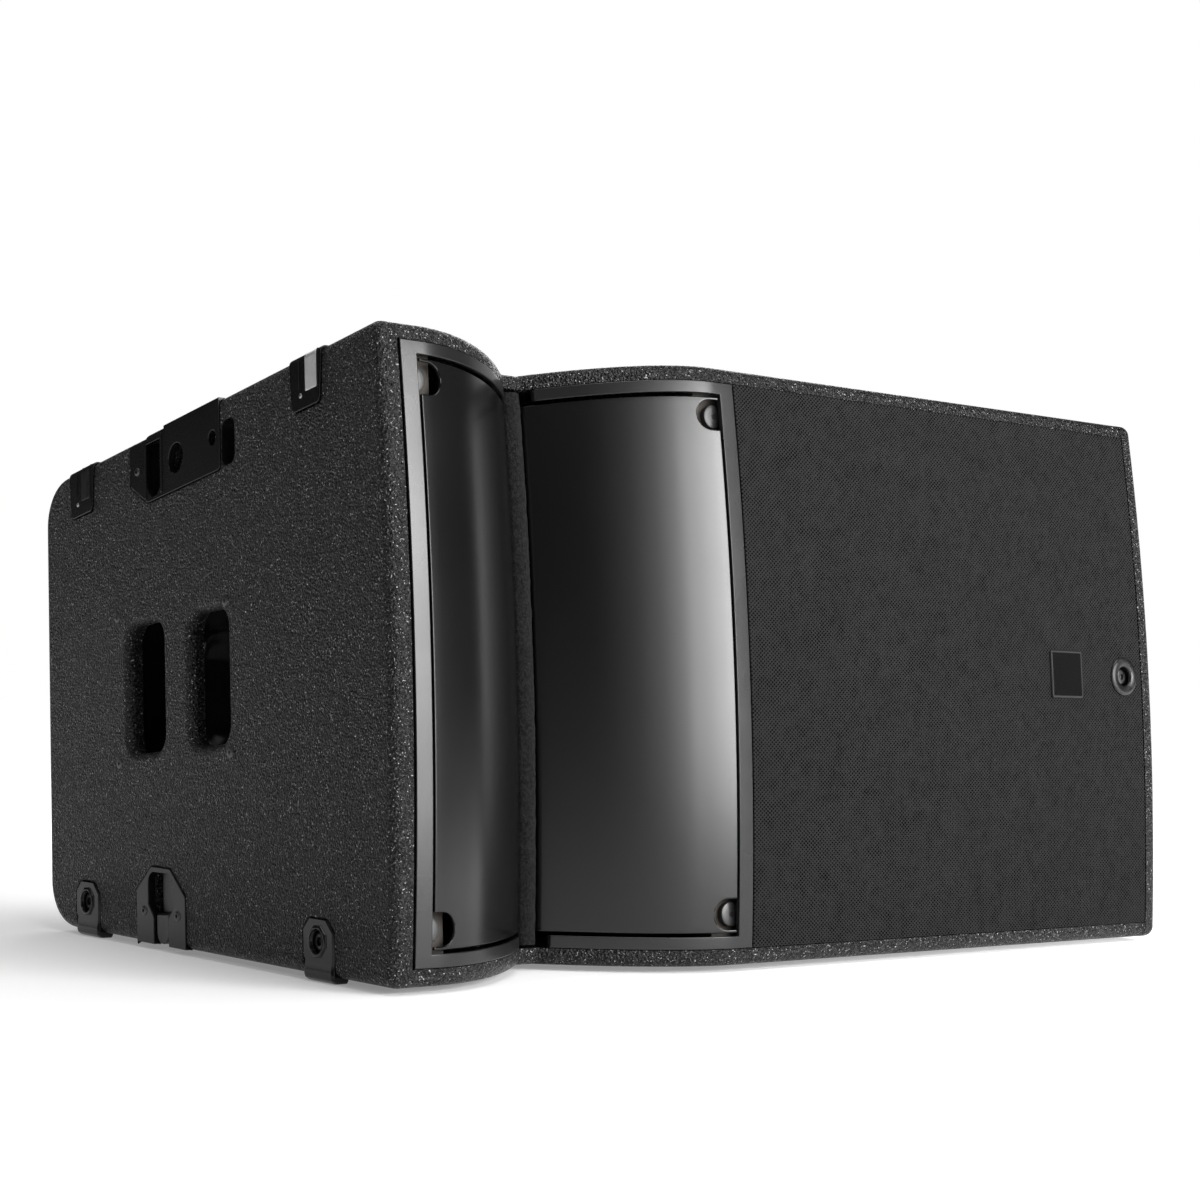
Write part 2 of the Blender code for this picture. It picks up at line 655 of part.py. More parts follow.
# ---------------------------------------------------------------- grille
def make_grille(steel, cloth, black_metal, badge_paint, batten):
    half = trim_half(0.0)

    def face(setback):
        def point(u, v):
            z = v * half
            return (u, setback - bulge(z), z)
        return point

    columns = spread(GRILLE_LEFT, GRILLE_RIGHT, 2)
    rows = spread(-1.0, 1.0, 14)
    covering = sheet("grille_cloth", columns, rows, face(0.0005), 0.0030, cloth)
    panel = sheet("grille_panel", columns, rows, face(0.0038), 0.0015, steel)
    drill = helper("grille_drill", [prism_loops("y", circle(CUP_X, 0.0, 0.0085), -0.02, 0.010)])
    boolean(covering, drill)
    boolean(panel, drill)
    pilot = helper("batten_drill", [prism_loops("y", circle(CUP_X + 0.010, 0.0, 0.0045), 0.0, 0.0260)])
    boolean(batten, pilot)
    face_y = -BULGE + 0.0005
    washer = [(0.0080, -0.0025), (0.0150, -0.0025), (0.0160, -0.0010), (0.0160, -0.0003),
              (0.0080, -0.0003)]
    revolved("grille_cup_washer", washer, black_metal, (CUP_X, face_y, 0.0), 32)
    screw = [(0.0, 0.0), (0.0070, 0.0), (0.0070, 0.0035), (0.0040, 0.0060), (0.0040, 0.0120),
             (0.0, 0.0120)]
    revolved("grille_screw", screw, black_metal, (CUP_X, face_y, 0.0), 24)
    outline = rounded_rectangle(BADGE_X, 0.0, 0.019, 0.019, 0.002, 3)
    prism("badge", "y", outline, face_y - 0.0016, face_y - GAP, badge_paint)


# ---------------------------------------------------------------- side hardware
def bracket(name, side, edge, points, flange, proud, paint):
    """A plate let into the side wall, with a flange folded over the cabinet's edge."""
    plate = prism(name, "x", edge_outline(edge, points), side_x(side, -proud), side_x(side, PLATE_BACK),
                  paint)
    low, high = flange
    ledge = rectangle(low, high, 0.0002, FLANGE_THICK)
    fold = helper(name + "_fold", [side_prism(side, edge_outline(edge, ledge), 0.001, FLANGE_REACH)])
    boolean(plate, fold, "UNION")
    return plate


def cut_plate(plate, side, edge, shapes, low=-0.012, high=0.020):
    loops = [side_prism(side, edge_outline(edge, shape), low, high) for shape in shapes]
    boolean(plate, helper(plate.name + "_holes", loops))


def make_rigging(side, label, steel, link_paint):
    upper = bracket("rigging_plate_top_" + label, side, 1, top_plate_points(), (0.204, 0.284),
                    PLATE_PROUD, steel)
    tongue = [(0.2890, 0.0060), (0.3110, 0.0060), (0.3110, 0.0380)]
    tongue += arc(0.300, 0.0380, 0.0110, 0.0, 180.0, 8)[1:-1]
    tongue += [(0.2890, 0.0380)]
    cut_plate(upper, side, 1, [tongue, circle(0.267, 0.0285, 0.0110), circle(0.2135, 0.0270, 0.0055, 16)])

    lower = bracket("rigging_plate_bottom_" + label, side, -1, bottom_plate_points(), (0.264, 0.337),
                    PLATE_PROUD, steel)
    keyhole = [(LINK_Y - 0.0110, -0.004), (LINK_Y - 0.0110, 0.0200), (LINK_Y - 0.0190, 0.0290)]
    keyhole += arc(LINK_Y - 0.0090, 0.0430, 0.0100, 180.0, 90.0, 4)
    keyhole += arc(LINK_Y + 0.0090, 0.0430, 0.0100, 90.0, 0.0, 4)
    keyhole += [(LINK_Y + 0.0190, 0.0290), (LINK_Y + 0.0110, 0.0200), (LINK_Y + 0.0110, -0.004)]
    cut_plate(lower, side, -1, [keyhole])

    make_link_bar(side, label, link_paint)


def make_link_bar(side, label, paint):
    """A flat shank in the pocket behind the plate, with a thick round-ended head in its mouth."""
    edge_z = -half_height(LINK_Y)

    def bar(half, high):
        points = [(-half, high), (-half, LINK_LOW + half)]
        points += arc(0.0, LINK_LOW + half, half, 180.0, 360.0, 12)[1:-1]
        return points + [(half, LINK_LOW + half), (half, high)]

    low = side_x(side, 0.0125)
    high = side_x(side, 0.0062)
    link = prism("link_bar_" + label, "x", bar(LINK_HALF, LINK_HIGH), 0.0, high - low, paint,
                 (low, LINK_Y, edge_z))
    head = [(LINK_Y + a, edge_z + b) for a, b in bar(LINK_HEAD_HALF, LINK_HEAD_HIGH)]
    boolean(link, helper("link_head_" + label, [side_prism(side, head, 0.0010, 0.0118)]), "UNION")


def make_feet(side, label, plastic, bolt_paint):
    half = FOOT_WIDE / 2
    for row, foot_y in (("front", FRONT_FOOT_Y), ("rear", REAR_FOOT_Y)):
        upper = bracket("foot_top_" + row + "_" + label, side, 1, upper_foot_points(foot_y),
                        (foot_y - half, foot_y + half), 0.0020, plastic)
        groove = rectangle(foot_y + 0.0015, foot_y + 0.0090, -0.004, 0.024)
        cut_plate(upper, side, 1, [groove], -0.012, -0.0008)

        points = lower_foot_points(foot_y)
        toe = half - 0.004
        points += [(foot_y + toe, -FOOT_DROP), (foot_y - toe, -FOOT_DROP)]
        lower = prism("foot_bottom_" + row + "_" + label, "x", edge_outline(-1, points),
                      side_x(side, -FOOT_PROUD), side_x(side, PLATE_BACK), plastic)
        heel = half - 0.0010
        sole = [(foot_y - toe, -FOOT_DROP), (foot_y + toe, -FOOT_DROP),
                (foot_y + heel, FLANGE_THICK), (foot_y - heel, FLANGE_THICK)]
        tread = helper(lower.name + "_sole", [side_prism(side, edge_outline(-1, sole), 0.001, FLANGE_REACH)])
        boolean(lower, tread, "UNION")
        cut_plate(lower, side, -1, [circle(foot_y, BOLT_INSET, 0.0066, 24)])
        make_foot_bolt("foot_bolt_" + row + "_" + label, side, foot_y, bolt_paint)


def make_foot_bolt(name, side, foot_y, paint):
    z = -half_height(foot_y) + BOLT_INSET
    low = side_x(side, 0.0004)
    high = side_x(side, 0.0050)
    head = prism(name, "x", circle(0.0, 0.0, 0.0062, 24), 0.0, high - low, paint, (low, foot_y, z))
    across = 0.0032
    hexagon = circle(foot_y, z, across, 6)
    socket = prism_loops("x", hexagon, side_x(side, 0.0030), side_x(side, -0.0040))
    boolean(head, helper(name + "_socket", [socket]))


def make_handle_cup(side, label, plastic):
    """A flanged tray behind the two hand holes."""
    def ring(depth, half_y, half_z, radius):
        outline = rounded_rectangle(HANDLE_Y, 0.0, half_y, half_z, radius)
        return [(side_x(side, depth), y, z) for y, z in outline]

    face = SIDE_WALL + GAP
    loops = [ring(0.0700, 0.078, 0.045, 0.020), ring(0.0500, 0.083, 0.049, 0.024),
             ring(face, 0.084, 0.050, 0.024), ring(face, 0.094, 0.064, 0.010),
             ring(face + 0.0025, 0.094, 0.064, 0.010), ring(face + 0.0025, 0.0865, 0.0525, 0.0255),
             ring(0.0510, 0.0855, 0.0515, 0.0255), ring(0.0725, 0.0805, 0.0475, 0.0215)]
    loft("handle_cup_" + label, loops, plastic)


# ---------------------------------------------------------------- rear
def make_rear(metal, plastic, board, damping):
    plate_rear = DEPTH - 0.0020
    plate_front = DEPTH - 0.0052
    outline = rounded_rectangle(INPUT_X, 0.0, 0.100, 0.060, 0.008)
    plate = prism("input_panel", "y", outline, plate_front, plate_rear, metal)
    holes = []
    for index, x in enumerate((INPUT_X - 0.030, INPUT_X + 0.030)):
        holes.append(prism_loops("y", circle(x, 0.0, 0.0125), plate_front - 0.002, plate_rear + 0.002))
        profile = [(0.0, -0.0300), (0.0120, -0.0300), (0.0120, 0.0003), (0.0155, 0.0003),
                   (0.0155, 0.0018), (0.0100, 0.0018), (0.0100, -0.0220), (0.0, -0.0220)]
        revolved("socket_" + ("in", "link")[index], profile, plastic, (x, plate_rear, 0.0), 28)
    boolean(plate, helper("socket_holes", holes))
    prism("crossover_board", "y", rectangle(0.010, 0.170, -0.050, 0.050), 0.4280, 0.4300, board)
    prism("damping_pad", "y", rectangle(0.200, 0.360, -0.120, 0.120), 0.4400, 0.4650, damping)


def build():
    global FRAME
    start_empty_scene()
    FRAME = bpy.data.objects.new("cabinet_frame", None)
    bpy.context.scene.collection.objects.link(FRAME)

    coat = material("textured_black_coat", (0.020, 0.020, 0.021), 0.75)
    ply = material("black_stained_plywood", (0.050, 0.045, 0.040), 0.80)
    trim = material("satin_black_trim", (0.022, 0.022, 0.023), 0.38)
    flare_paint = material("satin_black_flare", (0.018, 0.018, 0.019), 0.34)
    foam = material("black_foam", (0.014, 0.014, 0.014), 0.95)
    steel = material("black_steel", (0.030, 0.030, 0.032), 0.45, 0.6)
    zinc = material("bright_steel", (0.55, 0.55, 0.56), 0.35, 1.0)
    plastic = material("black_plastic", (0.020, 0.020, 0.021), 0.50)
    casting = material("cast_aluminium", (0.32, 0.32, 0.33), 0.50, 0.9)
    magnet = material("black_magnet", (0.030, 0.030, 0.032), 0.55, 0.3)
    rubber = material("surround_rubber", (0.018, 0.018, 0.018), 0.70)
    paper = material("cone_paper", (0.030, 0.030, 0.032), 0.85)
    copper = material("coil_copper", (0.60, 0.32, 0.18), 0.40, 1.0)
    cloth = material("grille_fabric", (0.024, 0.024, 0.025), 0.95)
    spider_cloth = material("spider_cloth", (0.55, 0.42, 0.22), 0.90)
    board = material("circuit_board", (0.02, 0.12, 0.06), 0.50)
    badge_paint = material("gloss_black_badge", (0.008, 0.008, 0.009), 0.15)

    _, batten = make_cabinet(coat, ply)
    make_horn(trim, flare_paint, foam, ply, zinc)
    make_high_driver(plastic, casting, magnet, zinc)
    make_woofer(casting, magnet, rubber, paper, copper, spider_cloth)
    make_grille(steel, cloth, steel, badge_paint, batten)
    for side, label in ((-1, "left"), (1, "right")):
        make_rigging(side, label, steel, zinc)
        make_feet(side, label, plastic, zinc)
        make_handle_cup(side, label, plastic)
    make_rear(steel, plastic, board, foam)
    lean_back()


def lean_back():
    """Lean the cabinet so that its lower face is level, and stand its feet on Z = 0."""
    FRAME.rotation_euler = (-WEDGE, 0.0, 0.0)
    bpy.context.view_layer.update()
    graph = bpy.context.evaluated_depsgraph_get()
    corners = []
    for each in bpy.context.scene.objects:
        if each.type == "MESH" and not each.hide_render:
            shaped = each.evaluated_get(graph)
            corners += [shaped.matrix_world @ vertex.co for vertex in shaped.data.vertices]
    middle_y = (min(corner.y for corner in corners) + max(corner.y for corner in corners)) / 2
    lowest = min(corner.z for corner in corners)
    FRAME.location = (0.0, -middle_y, -lowest)


build()
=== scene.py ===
"""Looks of the line array speaker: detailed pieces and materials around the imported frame.

Shapes are written in the cabinet's own frame, as in the CAD: X runs from the horn side to the
woofer side, Y from the front to the rear, Z up with Z = 0 halfway up the wedge. LEAN carries them
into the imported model's frame, where the cabinet leans back on its lower face. Sizes are in metres.
"""
from math import cos, degrees, pi, radians, sin, sqrt, tan, tau

import bmesh
import bpy
from mathutils import Matrix, Vector


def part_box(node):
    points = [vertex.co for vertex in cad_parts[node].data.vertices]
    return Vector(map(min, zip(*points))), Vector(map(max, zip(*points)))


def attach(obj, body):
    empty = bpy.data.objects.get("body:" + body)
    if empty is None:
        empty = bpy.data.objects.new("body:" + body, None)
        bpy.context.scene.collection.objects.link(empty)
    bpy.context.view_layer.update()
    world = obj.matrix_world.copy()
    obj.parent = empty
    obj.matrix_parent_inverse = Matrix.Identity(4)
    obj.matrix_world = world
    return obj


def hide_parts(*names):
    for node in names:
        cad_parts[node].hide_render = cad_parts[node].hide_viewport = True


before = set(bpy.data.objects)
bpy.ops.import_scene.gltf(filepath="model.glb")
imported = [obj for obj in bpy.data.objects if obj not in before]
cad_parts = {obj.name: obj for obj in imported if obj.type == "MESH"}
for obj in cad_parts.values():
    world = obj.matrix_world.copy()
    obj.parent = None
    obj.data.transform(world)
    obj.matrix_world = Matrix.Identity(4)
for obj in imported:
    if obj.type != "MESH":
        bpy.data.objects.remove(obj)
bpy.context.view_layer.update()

# ---------------------------------------------------------------- sizes, as in the CAD
WIDTH = 0.770
HEIGHT = 0.434
DEPTH = 0.484
WEDGE = radians(5.0)
BULGE = 0.0095
SIDE_WALL = 0.015
DECK = 0.012
ROUND = 0.0083                     # outer edges of the side walls
FRONT_ROUND = 0.0085
REAR_ROUND = 0.038
HALF_WIDTH = WIDTH / 2
HALF_HEIGHT = HEIGHT / 2
SLOPE = tan(WEDGE)
INNER = HALF_WIDTH - SIDE_WALL

HORN_X = -0.2215
THROAT_HALF = 0.008
FLARE_RUN = 0.120
FLARE_DEPTH = 0.072
FLARE_POWER = 1.8
HORN_HALF = 0.1465
TRIM_MARGIN = 0.0125
FRAME_BAND = 0.0135
FRAME_END_BAND = 0.0095
FLARE_GAP = 0.0018
FLARE_THICK = 0.003
SET_IN_EDGE = 0.0008               # how far a flare lies behind the CAD's surface at its outer edge
SET_IN_MORE = 0.0024               # and how much further it lies from SET_IN_RUN inwards
SET_IN_RUN = 0.030
SCREW_LEVEL = 0.1800               # height of the flare screws above and below the middle

GRILLE_LEFT = -0.0745
GRILLE_RIGHT = INNER - 0.0005
BADGE_X = 0.273
KNIT_ACROSS = 0.0036               # spacing of the holes in the grille cloth
KNIT_UPWARD = 0.0030
CUP_X = 0.346

REAR_FOOT_Y = 0.416
FRONT_FOOT_Y = 0.086
FOOT_TALL = 0.038
FOOT_WIDE = 0.040
FOOT_NARROW = 0.034
FOOT_CORNER = 0.008
RECESS = 0.0055
PLATE_BACK = 0.0052
FLANGE_REACH = 0.0125
LINK_Y = 0.300
LINK_HALF = 0.0085
LINK_HEAD_HALF = 0.010
LINK_LOW = 0.001                   # ends of a link bar, in from the cabinet's edge
LINK_HIGH = 0.053
LINK_HEAD_HIGH = 0.024
FOOT_TRIM = 0.001                  # a lower foot is this much narrower on each side
BOLT_INSET = 0.023
BOSS_RADIUS = 0.0112
BORE_RADIUS = 0.0082
TOP_PLATE_FRONT = 0.203
BOTTOM_PLATE_FRONT = 0.264
PLATE_REAR = 0.337
PLATE_PROUD = 0.0005
TONGUE_SLOT = (0.289, 0.311)       # along Y
TONGUE_POCKET = (0.287, 0.313)
# along Y, in from the edge, radius in the plate and clearance radius in the wall
PIN_HOLES = ((0.267, 0.0285, 0.011, 0.012), (0.2135, 0.027, 0.0055, 0.006))
END_POCKET = ((0.1925, 0.0345), (0.0095, 0.0165, 0.007))
SLOT_YS = (0.226, 0.320)
SLOT_SIZE = (0.027, 0.048, 0.014)  # half width, half height, corner radius
SLOT_LIP = 0.0062
SLOT_UNDERCUT = 0.0035
HANDLE_Y = 0.2755
INPUT_X = 0.090
SOCKET_X = 0.030                   # of each socket, from the middle of the input panel
OVER = 0.003                       # how far cutters run past a surface
THROUGH = (-0.012, 0.020)          # depths that a hole through a plate is cut between
LEDGE = 0.0035                     # depth of the step cut for a flange
CHAMFER = 0.0008
SEAT_GAP = 0.0005
TUCK = 0.0010                      # how far the panels run into the side walls, to hide the seam
UNDER = 0.00005                    # how far the panels lie below the side walls' outline
FINE_CUT = 1e-7
SIDES = ((-1, "left"), (1, "right"))


def find_lean():
    """The matrix from the cabinet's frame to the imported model's, from where the input panel lies."""
    low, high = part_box("input_panel")
    middle = (low + high) / 2
    depth = DEPTH - 0.0036
    lift = middle.z + depth * sin(WEDGE)
    back = middle.y - depth * cos(WEDGE)
    return Matrix.Translation((0.0, back, lift)) @ Matrix.Rotation(-WEDGE, 4, "X")


LEAN = find_lean()


# ---------------------------------------------------------------- shapes of the cabinet
def spread(low, high, count):
    return [low + (high - low) * step / count for step in range(count + 1)]


def half_height(y):
    return HALF_HEIGHT - y * SLOPE


def bulge(z):
    return BULGE * (1.0 - (z / HALF_HEIGHT) ** 2)


def flare_depth(u):
    share = (u - THROAT_HALF) / FLARE_RUN
    if share >= 1.0:
        return 0.0
    return FLARE_DEPTH * (1.0 - max(share, 0.0)) ** FLARE_POWER


def trim_half(y):
    return half_height(y) - TRIM_MARGIN


def arc(centre_a, centre_b, radius, start, end, steps):
    points = []
    for step in range(steps + 1):
        angle = radians(start + (end - start) * step / steps)
        points.append((centre_a + radius * cos(angle), centre_b + radius * sin(angle)))
    return points


def rear_corner(radius, inset, steps=12):
    centre_y = DEPTH - REAR_ROUND
    centre_z = half_height(centre_y) - REAR_ROUND / cos(WEDGE)
    return arc(centre_y, centre_z, radius - inset, 90.0 - degrees(WEDGE), 0.0, steps)


def side_profile():
    low = HALF_HEIGHT - 1.08 * FRONT_ROUND
    points = [(-bulge(z), z) for z in spread(-low, low, 36)]
    centre_y = FRONT_ROUND - bulge(low)
    front = arc(centre_y, low, FRONT_ROUND, 180.0, 90.0 - degrees(WEDGE), 10)
    upper = front[1:] + rear_corner(REAR_ROUND, 0.0)
    points += upper
    points += [(y, -z) for y, z in reversed(upper)]
    return list(reversed(points))


def inset_outline(points, distance):
    """Move every side of a closed anticlockwise outline inwards by the same distance."""
    moved = []
    count = len(points)
    for index, (a, b) in enumerate(points):
        before = Vector(points[index - 1])
        here = Vector((a, b))
        after = Vector(points[(index + 1) % count])
        first = (here - before).normalized()
        second = (after - here).normalized()
        normal_one = Vector((-first.y, first.x))
        normal_two = Vector((-second.y, second.x))
        middle = (normal_one + normal_two).normalized()
        stretch = distance / max(middle.dot(normal_one), 0.2)
        moved.append((a + middle.x * stretch, b + middle.y * stretch))
    return moved


def quarter(radius, steps):
    """Points round a quarter circle, as (depth below the first, distance short of the last)."""
    return [(radius * (1.0 - cos(t)), radius * (1.0 - sin(t))) for t in spread(0.0, pi / 2, steps)]


def mirrored(centre, half):
    """An outline from the half that lies below centre, as (distance from centre, level) points."""
    return [(centre - a, b) for a, b in half] + [(centre + a, b) for a, b in reversed(half)]


def circle(a, b, radius, steps=48):
    return arc(a, b, radius, 0.0, 360.0 * (steps - 1) / steps, steps - 1)


def rounded_rectangle(a, b, half_a, half_b, radius, steps=8):
    points = []
    corners = ((1, 1, 0), (-1, 1, 90), (-1, -1, 180), (1, -1, 270))
    for sign_a, sign_b, start in corners:
        centre_a = a + sign_a * (half_a - radius)
        centre_b = b + sign_b * (half_b - radius)
        points += arc(centre_a, centre_b, radius, start, start + 90, steps)
    return points


def rectangle(low_a, high_a, low_b, high_b):
    return [(low_a, low_b), (high_a, low_b), (high_a, high_b), (low_a, high_b)]


def grown(centre, size, grow):
    """A rounded rectangle of (half width, half height, radius), larger by grow on every side."""
    return rounded_rectangle(*centre, *[value + grow for value in size])


def round_corners(points, radii, steps=6):
    """Round the corners of a polygon; a radius of 0 leaves a corner sharp."""
    rounded = []
    count = len(points)
    for index, corner in enumerate(points):
        radius = radii[index] if isinstance(radii, (list, tuple)) else radii
        here = Vector(corner)
        if radius <= 0.0:
            rounded.append((here.x, here.y))
            continue
        back = (Vector(points[index - 1]) - here).normalized()
        ahead = (Vector(points[(index + 1) % count]) - here).normalized()
        half = back.angle(ahead) / 2
        reach = radius / tan(half)
        start = here + back * reach
        end = here + ahead * reach
        centre = here + (back + ahead).normalized() * (radius / sin(half))
        first = start - centre
        last = end - centre
        for step in range(steps + 1):
            share = step / steps
            mixed = first * (1.0 - share) + last * share
            point = centre + mixed.normalized() * radius
            rounded.append((point.x, point.y))
    return rounded


# ---------------------------------------------------------------- mesh makers
def add_loft(builder, loops):
    """Skin closed loops of equal length one after the other, and cap the ends."""
    rings = [[builder.verts.new(point) for point in loop] for loop in loops]
    count = len(rings[0])
    for ring, following in zip(rings, rings[1:]):
        for i in range(count):
            j = (i + 1) % count
            builder.faces.new((ring[i], ring[j], following[j], following[i]))
    builder.faces.new(rings[0])
    builder.faces.new(list(reversed(rings[-1])))


def add_rows(builder, rows):
    """Skin open rows of vertices one after the other."""
    for row, following in zip(rows, rows[1:]):
        for i in range(len(row) - 1):
            builder.faces.new((row[i], row[i + 1], following[i + 1], following[i]))


def lofted(*loop_sets):
    builder = bmesh.new()
    for loops in loop_sets:
        add_loft(builder, loops)
    return builder


def place(axis, level, a, b):
    if axis == "x":
        return (level, a, b)
    if axis == "y":
        return (a, level, b)
    return (a, b, level)


def prism_loops(axis, outline, low, high):
    return [[place(axis, level, a, b) for a, b in outline] for level in (low, high)]


def add_turned(builder, axis, profile, centre, steps=48):
    """Turn a closed profile of (radius, level) points about an axis through centre (a, b, level)."""
    middle_a, middle_b, base = centre
    rings = []
    for radius, level in profile:
        if radius < 1e-7:
            vertex = builder.verts.new(place(axis, base + level, middle_a, middle_b))
            rings.append([vertex] * steps)
            continue
        rings.append([builder.verts.new(place(axis, base + level, a, b))
                      for a, b in circle(middle_a, middle_b, radius, steps)])
    for ring, following in zip(rings, rings[1:] + rings[:1]):
        for i in range(steps):
            j = (i + 1) % steps
            corners = []
            for vertex in (ring[i], ring[j], following[j], following[i]):
                if vertex not in corners:
                    corners.append(vertex)
            if len(corners) > 2:
                builder.faces.new(corners)


def add_object(name, data):
    made = bpy.data.objects.new(name, data)
    bpy.context.scene.collection.objects.link(made)
    return made


def mesh_object(name, builder):
    mesh = bpy.data.meshes.new(name)
    builder.to_mesh(mesh)
    builder.free()
    return add_object(name, mesh)


def solid(name, builder):
    """A mesh object in the cabinet's frame, before its cuts and its finish."""
    bmesh.ops.remove_doubles(builder, verts=builder.verts, dist=1e-6)
    bmesh.ops.recalc_face_normals(builder, faces=builder.faces)
    return mesh_object(name, builder)


def settle(target):
    """Apply the modifiers of an object to its mesh."""
    bpy.context.view_layer.update()
    graph = bpy.context.evaluated_depsgraph_get()
    shaped = bpy.data.meshes.new_from_object(target.evaluated_get(graph))
    target.modifiers.clear()
    old = target.data
    target.data = shaped
    bpy.data.meshes.remove(old)


def carve(target, *cutters, operation="DIFFERENCE"):
    tools = []
    for cutter in cutters:
        tool = solid("cutter", cutter)
        tools.append(tool)
        modifier = target.modifiers.new("cut", "BOOLEAN")
        modifier.operation = operation
        modifier.solver = "EXACT"
        modifier.object = tool
    settle(target)
    for tool in tools:
        bpy.data.objects.remove(tool, do_unlink=True)


def finish(made, look, nodes=(), body="cabinet", bevel=0.0, steps=3, crease=38.0):
    mesh = made.data
    mesh.transform(LEAN)
    mesh.materials.clear()
    mesh.materials.append(LOOKS[look])
    for face in mesh.polygons:
        face.use_smooth = True
        face.material_index = 0
    if bevel:
        modifier = made.modifiers.new("edges", "BEVEL")
        modifier.width = bevel
        modifier.segments = steps
        modifier.limit_method = "ANGLE"
        modifier.angle_limit = radians(crease)
        modifier.use_clamp_overlap = False
        settle(made)
        mesh = made.data
    mesh.set_sharp_from_angle(angle=radians(crease))
    weighted = made.modifiers.new("normals", "WEIGHTED_NORMAL")
    weighted.keep_sharp = True
    weighted.weight = 80
    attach(made, body)
    if nodes:
        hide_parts(*nodes)


# ---------------------------------------------------------------- materials
class Look:
    """A node material with Object coordinates and small helpers for its patterns."""

    def __init__(self, name, colour, roughness, metallic=0.0, specular=0.5):
        self.material = bpy.data.materials.new(name)
        self.material.use_nodes = True
        self.material.diffuse_color = (*colour, 1.0)
        self.tree = self.material.node_tree
        self.shader = self.tree.nodes["Principled BSDF"]
        self.fill(self.shader, {"Base Color": (*colour, 1.0), "Roughness": roughness,
                                "Metallic": metallic, "Specular IOR Level": specular})
        self.coordinates = self.tree.nodes.new("ShaderNodeTexCoord").outputs["Object"]

    def fill(self, node, values):
        """Set a node's inputs to numbers, or join them to other nodes' outputs."""
        for name, value in values.items():
            if isinstance(value, bpy.types.NodeSocket):
                self.tree.links.new(value, node.inputs[name])
            else:
                node.inputs[name].default_value = value

    def node(self, kind, values, **settings):
        made = self.tree.nodes.new("ShaderNode" + kind)
        for name, setting in settings.items():
            setattr(made, name, setting)
        self.fill(made, values)
        return made

    def stretch(self, scale):
        """Coordinates multiplied by a vector."""
        return self.node("Mapping", {"Scale": scale, "Vector": self.coordinates}).outputs["Vector"]

    def split(self):
        return self.node("SeparateXYZ", {"Vector": self.coordinates}).outputs

    def noise(self, scale, detail=3.0, rough=0.55, vector=None, distortion=0.0):
        values = {"Scale": scale, "Detail": detail, "Roughness": rough, "Distortion": distortion}
        return self.node("TexNoise", {**values, "Vector": vector or self.coordinates}).outputs["Fac"]

    def cells(self, scale, randomness=1.0, smooth=0.6):
        values = {"Scale": scale, "Smoothness": smooth, "Randomness": randomness}
        made = self.node("TexVoronoi", {**values, "Vector": self.coordinates}, feature="SMOOTH_F1")
        return made.outputs["Distance"]

    def math(self, kind, *values):
        return self.node("Math", dict(enumerate(values)), operation=kind).outputs["Value"]

    def band(self, value, low, high, out_low=0.0, out_high=1.0):
        """Smooth step of a value between low and high, onto an output range."""
        values = {"From Min": low, "From Max": high, "To Min": out_low, "To Max": out_high}
        made = self.node("MapRange", {**values, "Value": value}, interpolation_type="SMOOTHSTEP")
        return made.outputs["Result"]

    def blend(self, factor, first, second):
        """Mix two colours by a factor, for the base colour."""
        made = self.node("Mix", {0: factor}, data_type="RGBA")
        sockets = [socket for socket in made.inputs if socket.type == "RGBA"]
        for socket, colour in zip(sockets, (first, second)):
            socket.default_value = (*colour, 1.0)
        result = [socket for socket in made.outputs if socket.type == "RGBA"][0]
        self.fill(self.shader, {"Base Color": result})

    def rough(self, value):
        self.fill(self.shader, {"Roughness": value})

    def bump(self, height, distance, strength=1.0):
        made = self.node("Bump", {"Distance": distance, "Strength": strength, "Height": height})
        self.fill(self.shader, {"Normal": made.outputs["Normal"]})


def make_coat():
    """Sprayed two-part coating: hard grains of about 1.5 mm; its bright specks and small glints are
    painted highlights in the base colour.
    """
    look = Look("coat", (0.016, 0.016, 0.0165), 0.5, specular=0.26)
    grain = look.cells(560.0)
    fine = look.noise(720.0, 1.0, 0.5)
    height = look.math("ADD", look.band(grain, 0.15, 0.75, 0.8, 0.0), look.math("MULTIPLY", fine, 1.5))
    look.bump(height, 0.0009, 1.0)
    # Bright specks and glints in the base colour are painted highlights, standing for the light that the
    # grains catch.
    painted_speck = look.band(look.noise(600.0, 2.0, 0.6), 0.48, 0.68)
    glint = look.band(look.noise(760.0, 1.0, 0.5), 0.66, 0.75)
    tone = look.math("ADD", look.math("MULTIPLY", painted_speck, 0.07), look.math("MULTIPLY", glint, 0.93))
    look.blend(tone, (0.001, 0.001, 0.0011), (0.42, 0.42, 0.425))
    look.rough(look.band(look.noise(480.0, 1.0), 0.35, 0.65, 0.26, 0.5))
    return look.material


def make_satin(name, tone, low, high, grain=2600.0, depth=0.00002, specular=0.5):
    """Moulded or painted surface with a faint grain and slightly uneven gloss."""
    look = Look(name, (tone, tone, tone * 1.03), low, specular=specular)
    fine = look.noise(grain, 2.0)
    wave = look.noise(9.0, 3.0)
    look.bump(fine, depth, 0.6)
    look.rough(look.band(wave, 0.3, 0.7, low, high))
    shade = look.noise(14.0, 4.0)
    look.blend(shade, (tone * 0.9, tone * 0.9, tone * 0.92), (tone * 1.12, tone * 1.12, tone * 1.15))
    return look.material


def make_foam():
    look = Look("felt_strip", (0.05, 0.05, 0.05), 0.95, specular=0.2)
    pores = look.cells(900.0)
    fuzz = look.noise(1500.0, 5.0, 0.7)
    look.bump(look.math("ADD", pores, fuzz), 0.0009, 1.0)
    worn = look.band(look.noise(420.0, 5.0, 0.7), 0.35, 0.65)
    look.blend(worn, (0.001, 0.001, 0.001), (0.014, 0.014, 0.014))
    look.fill(look.shader, {"Sheen Weight": 0.02, "Sheen Roughness": 0.5})
    return look.material


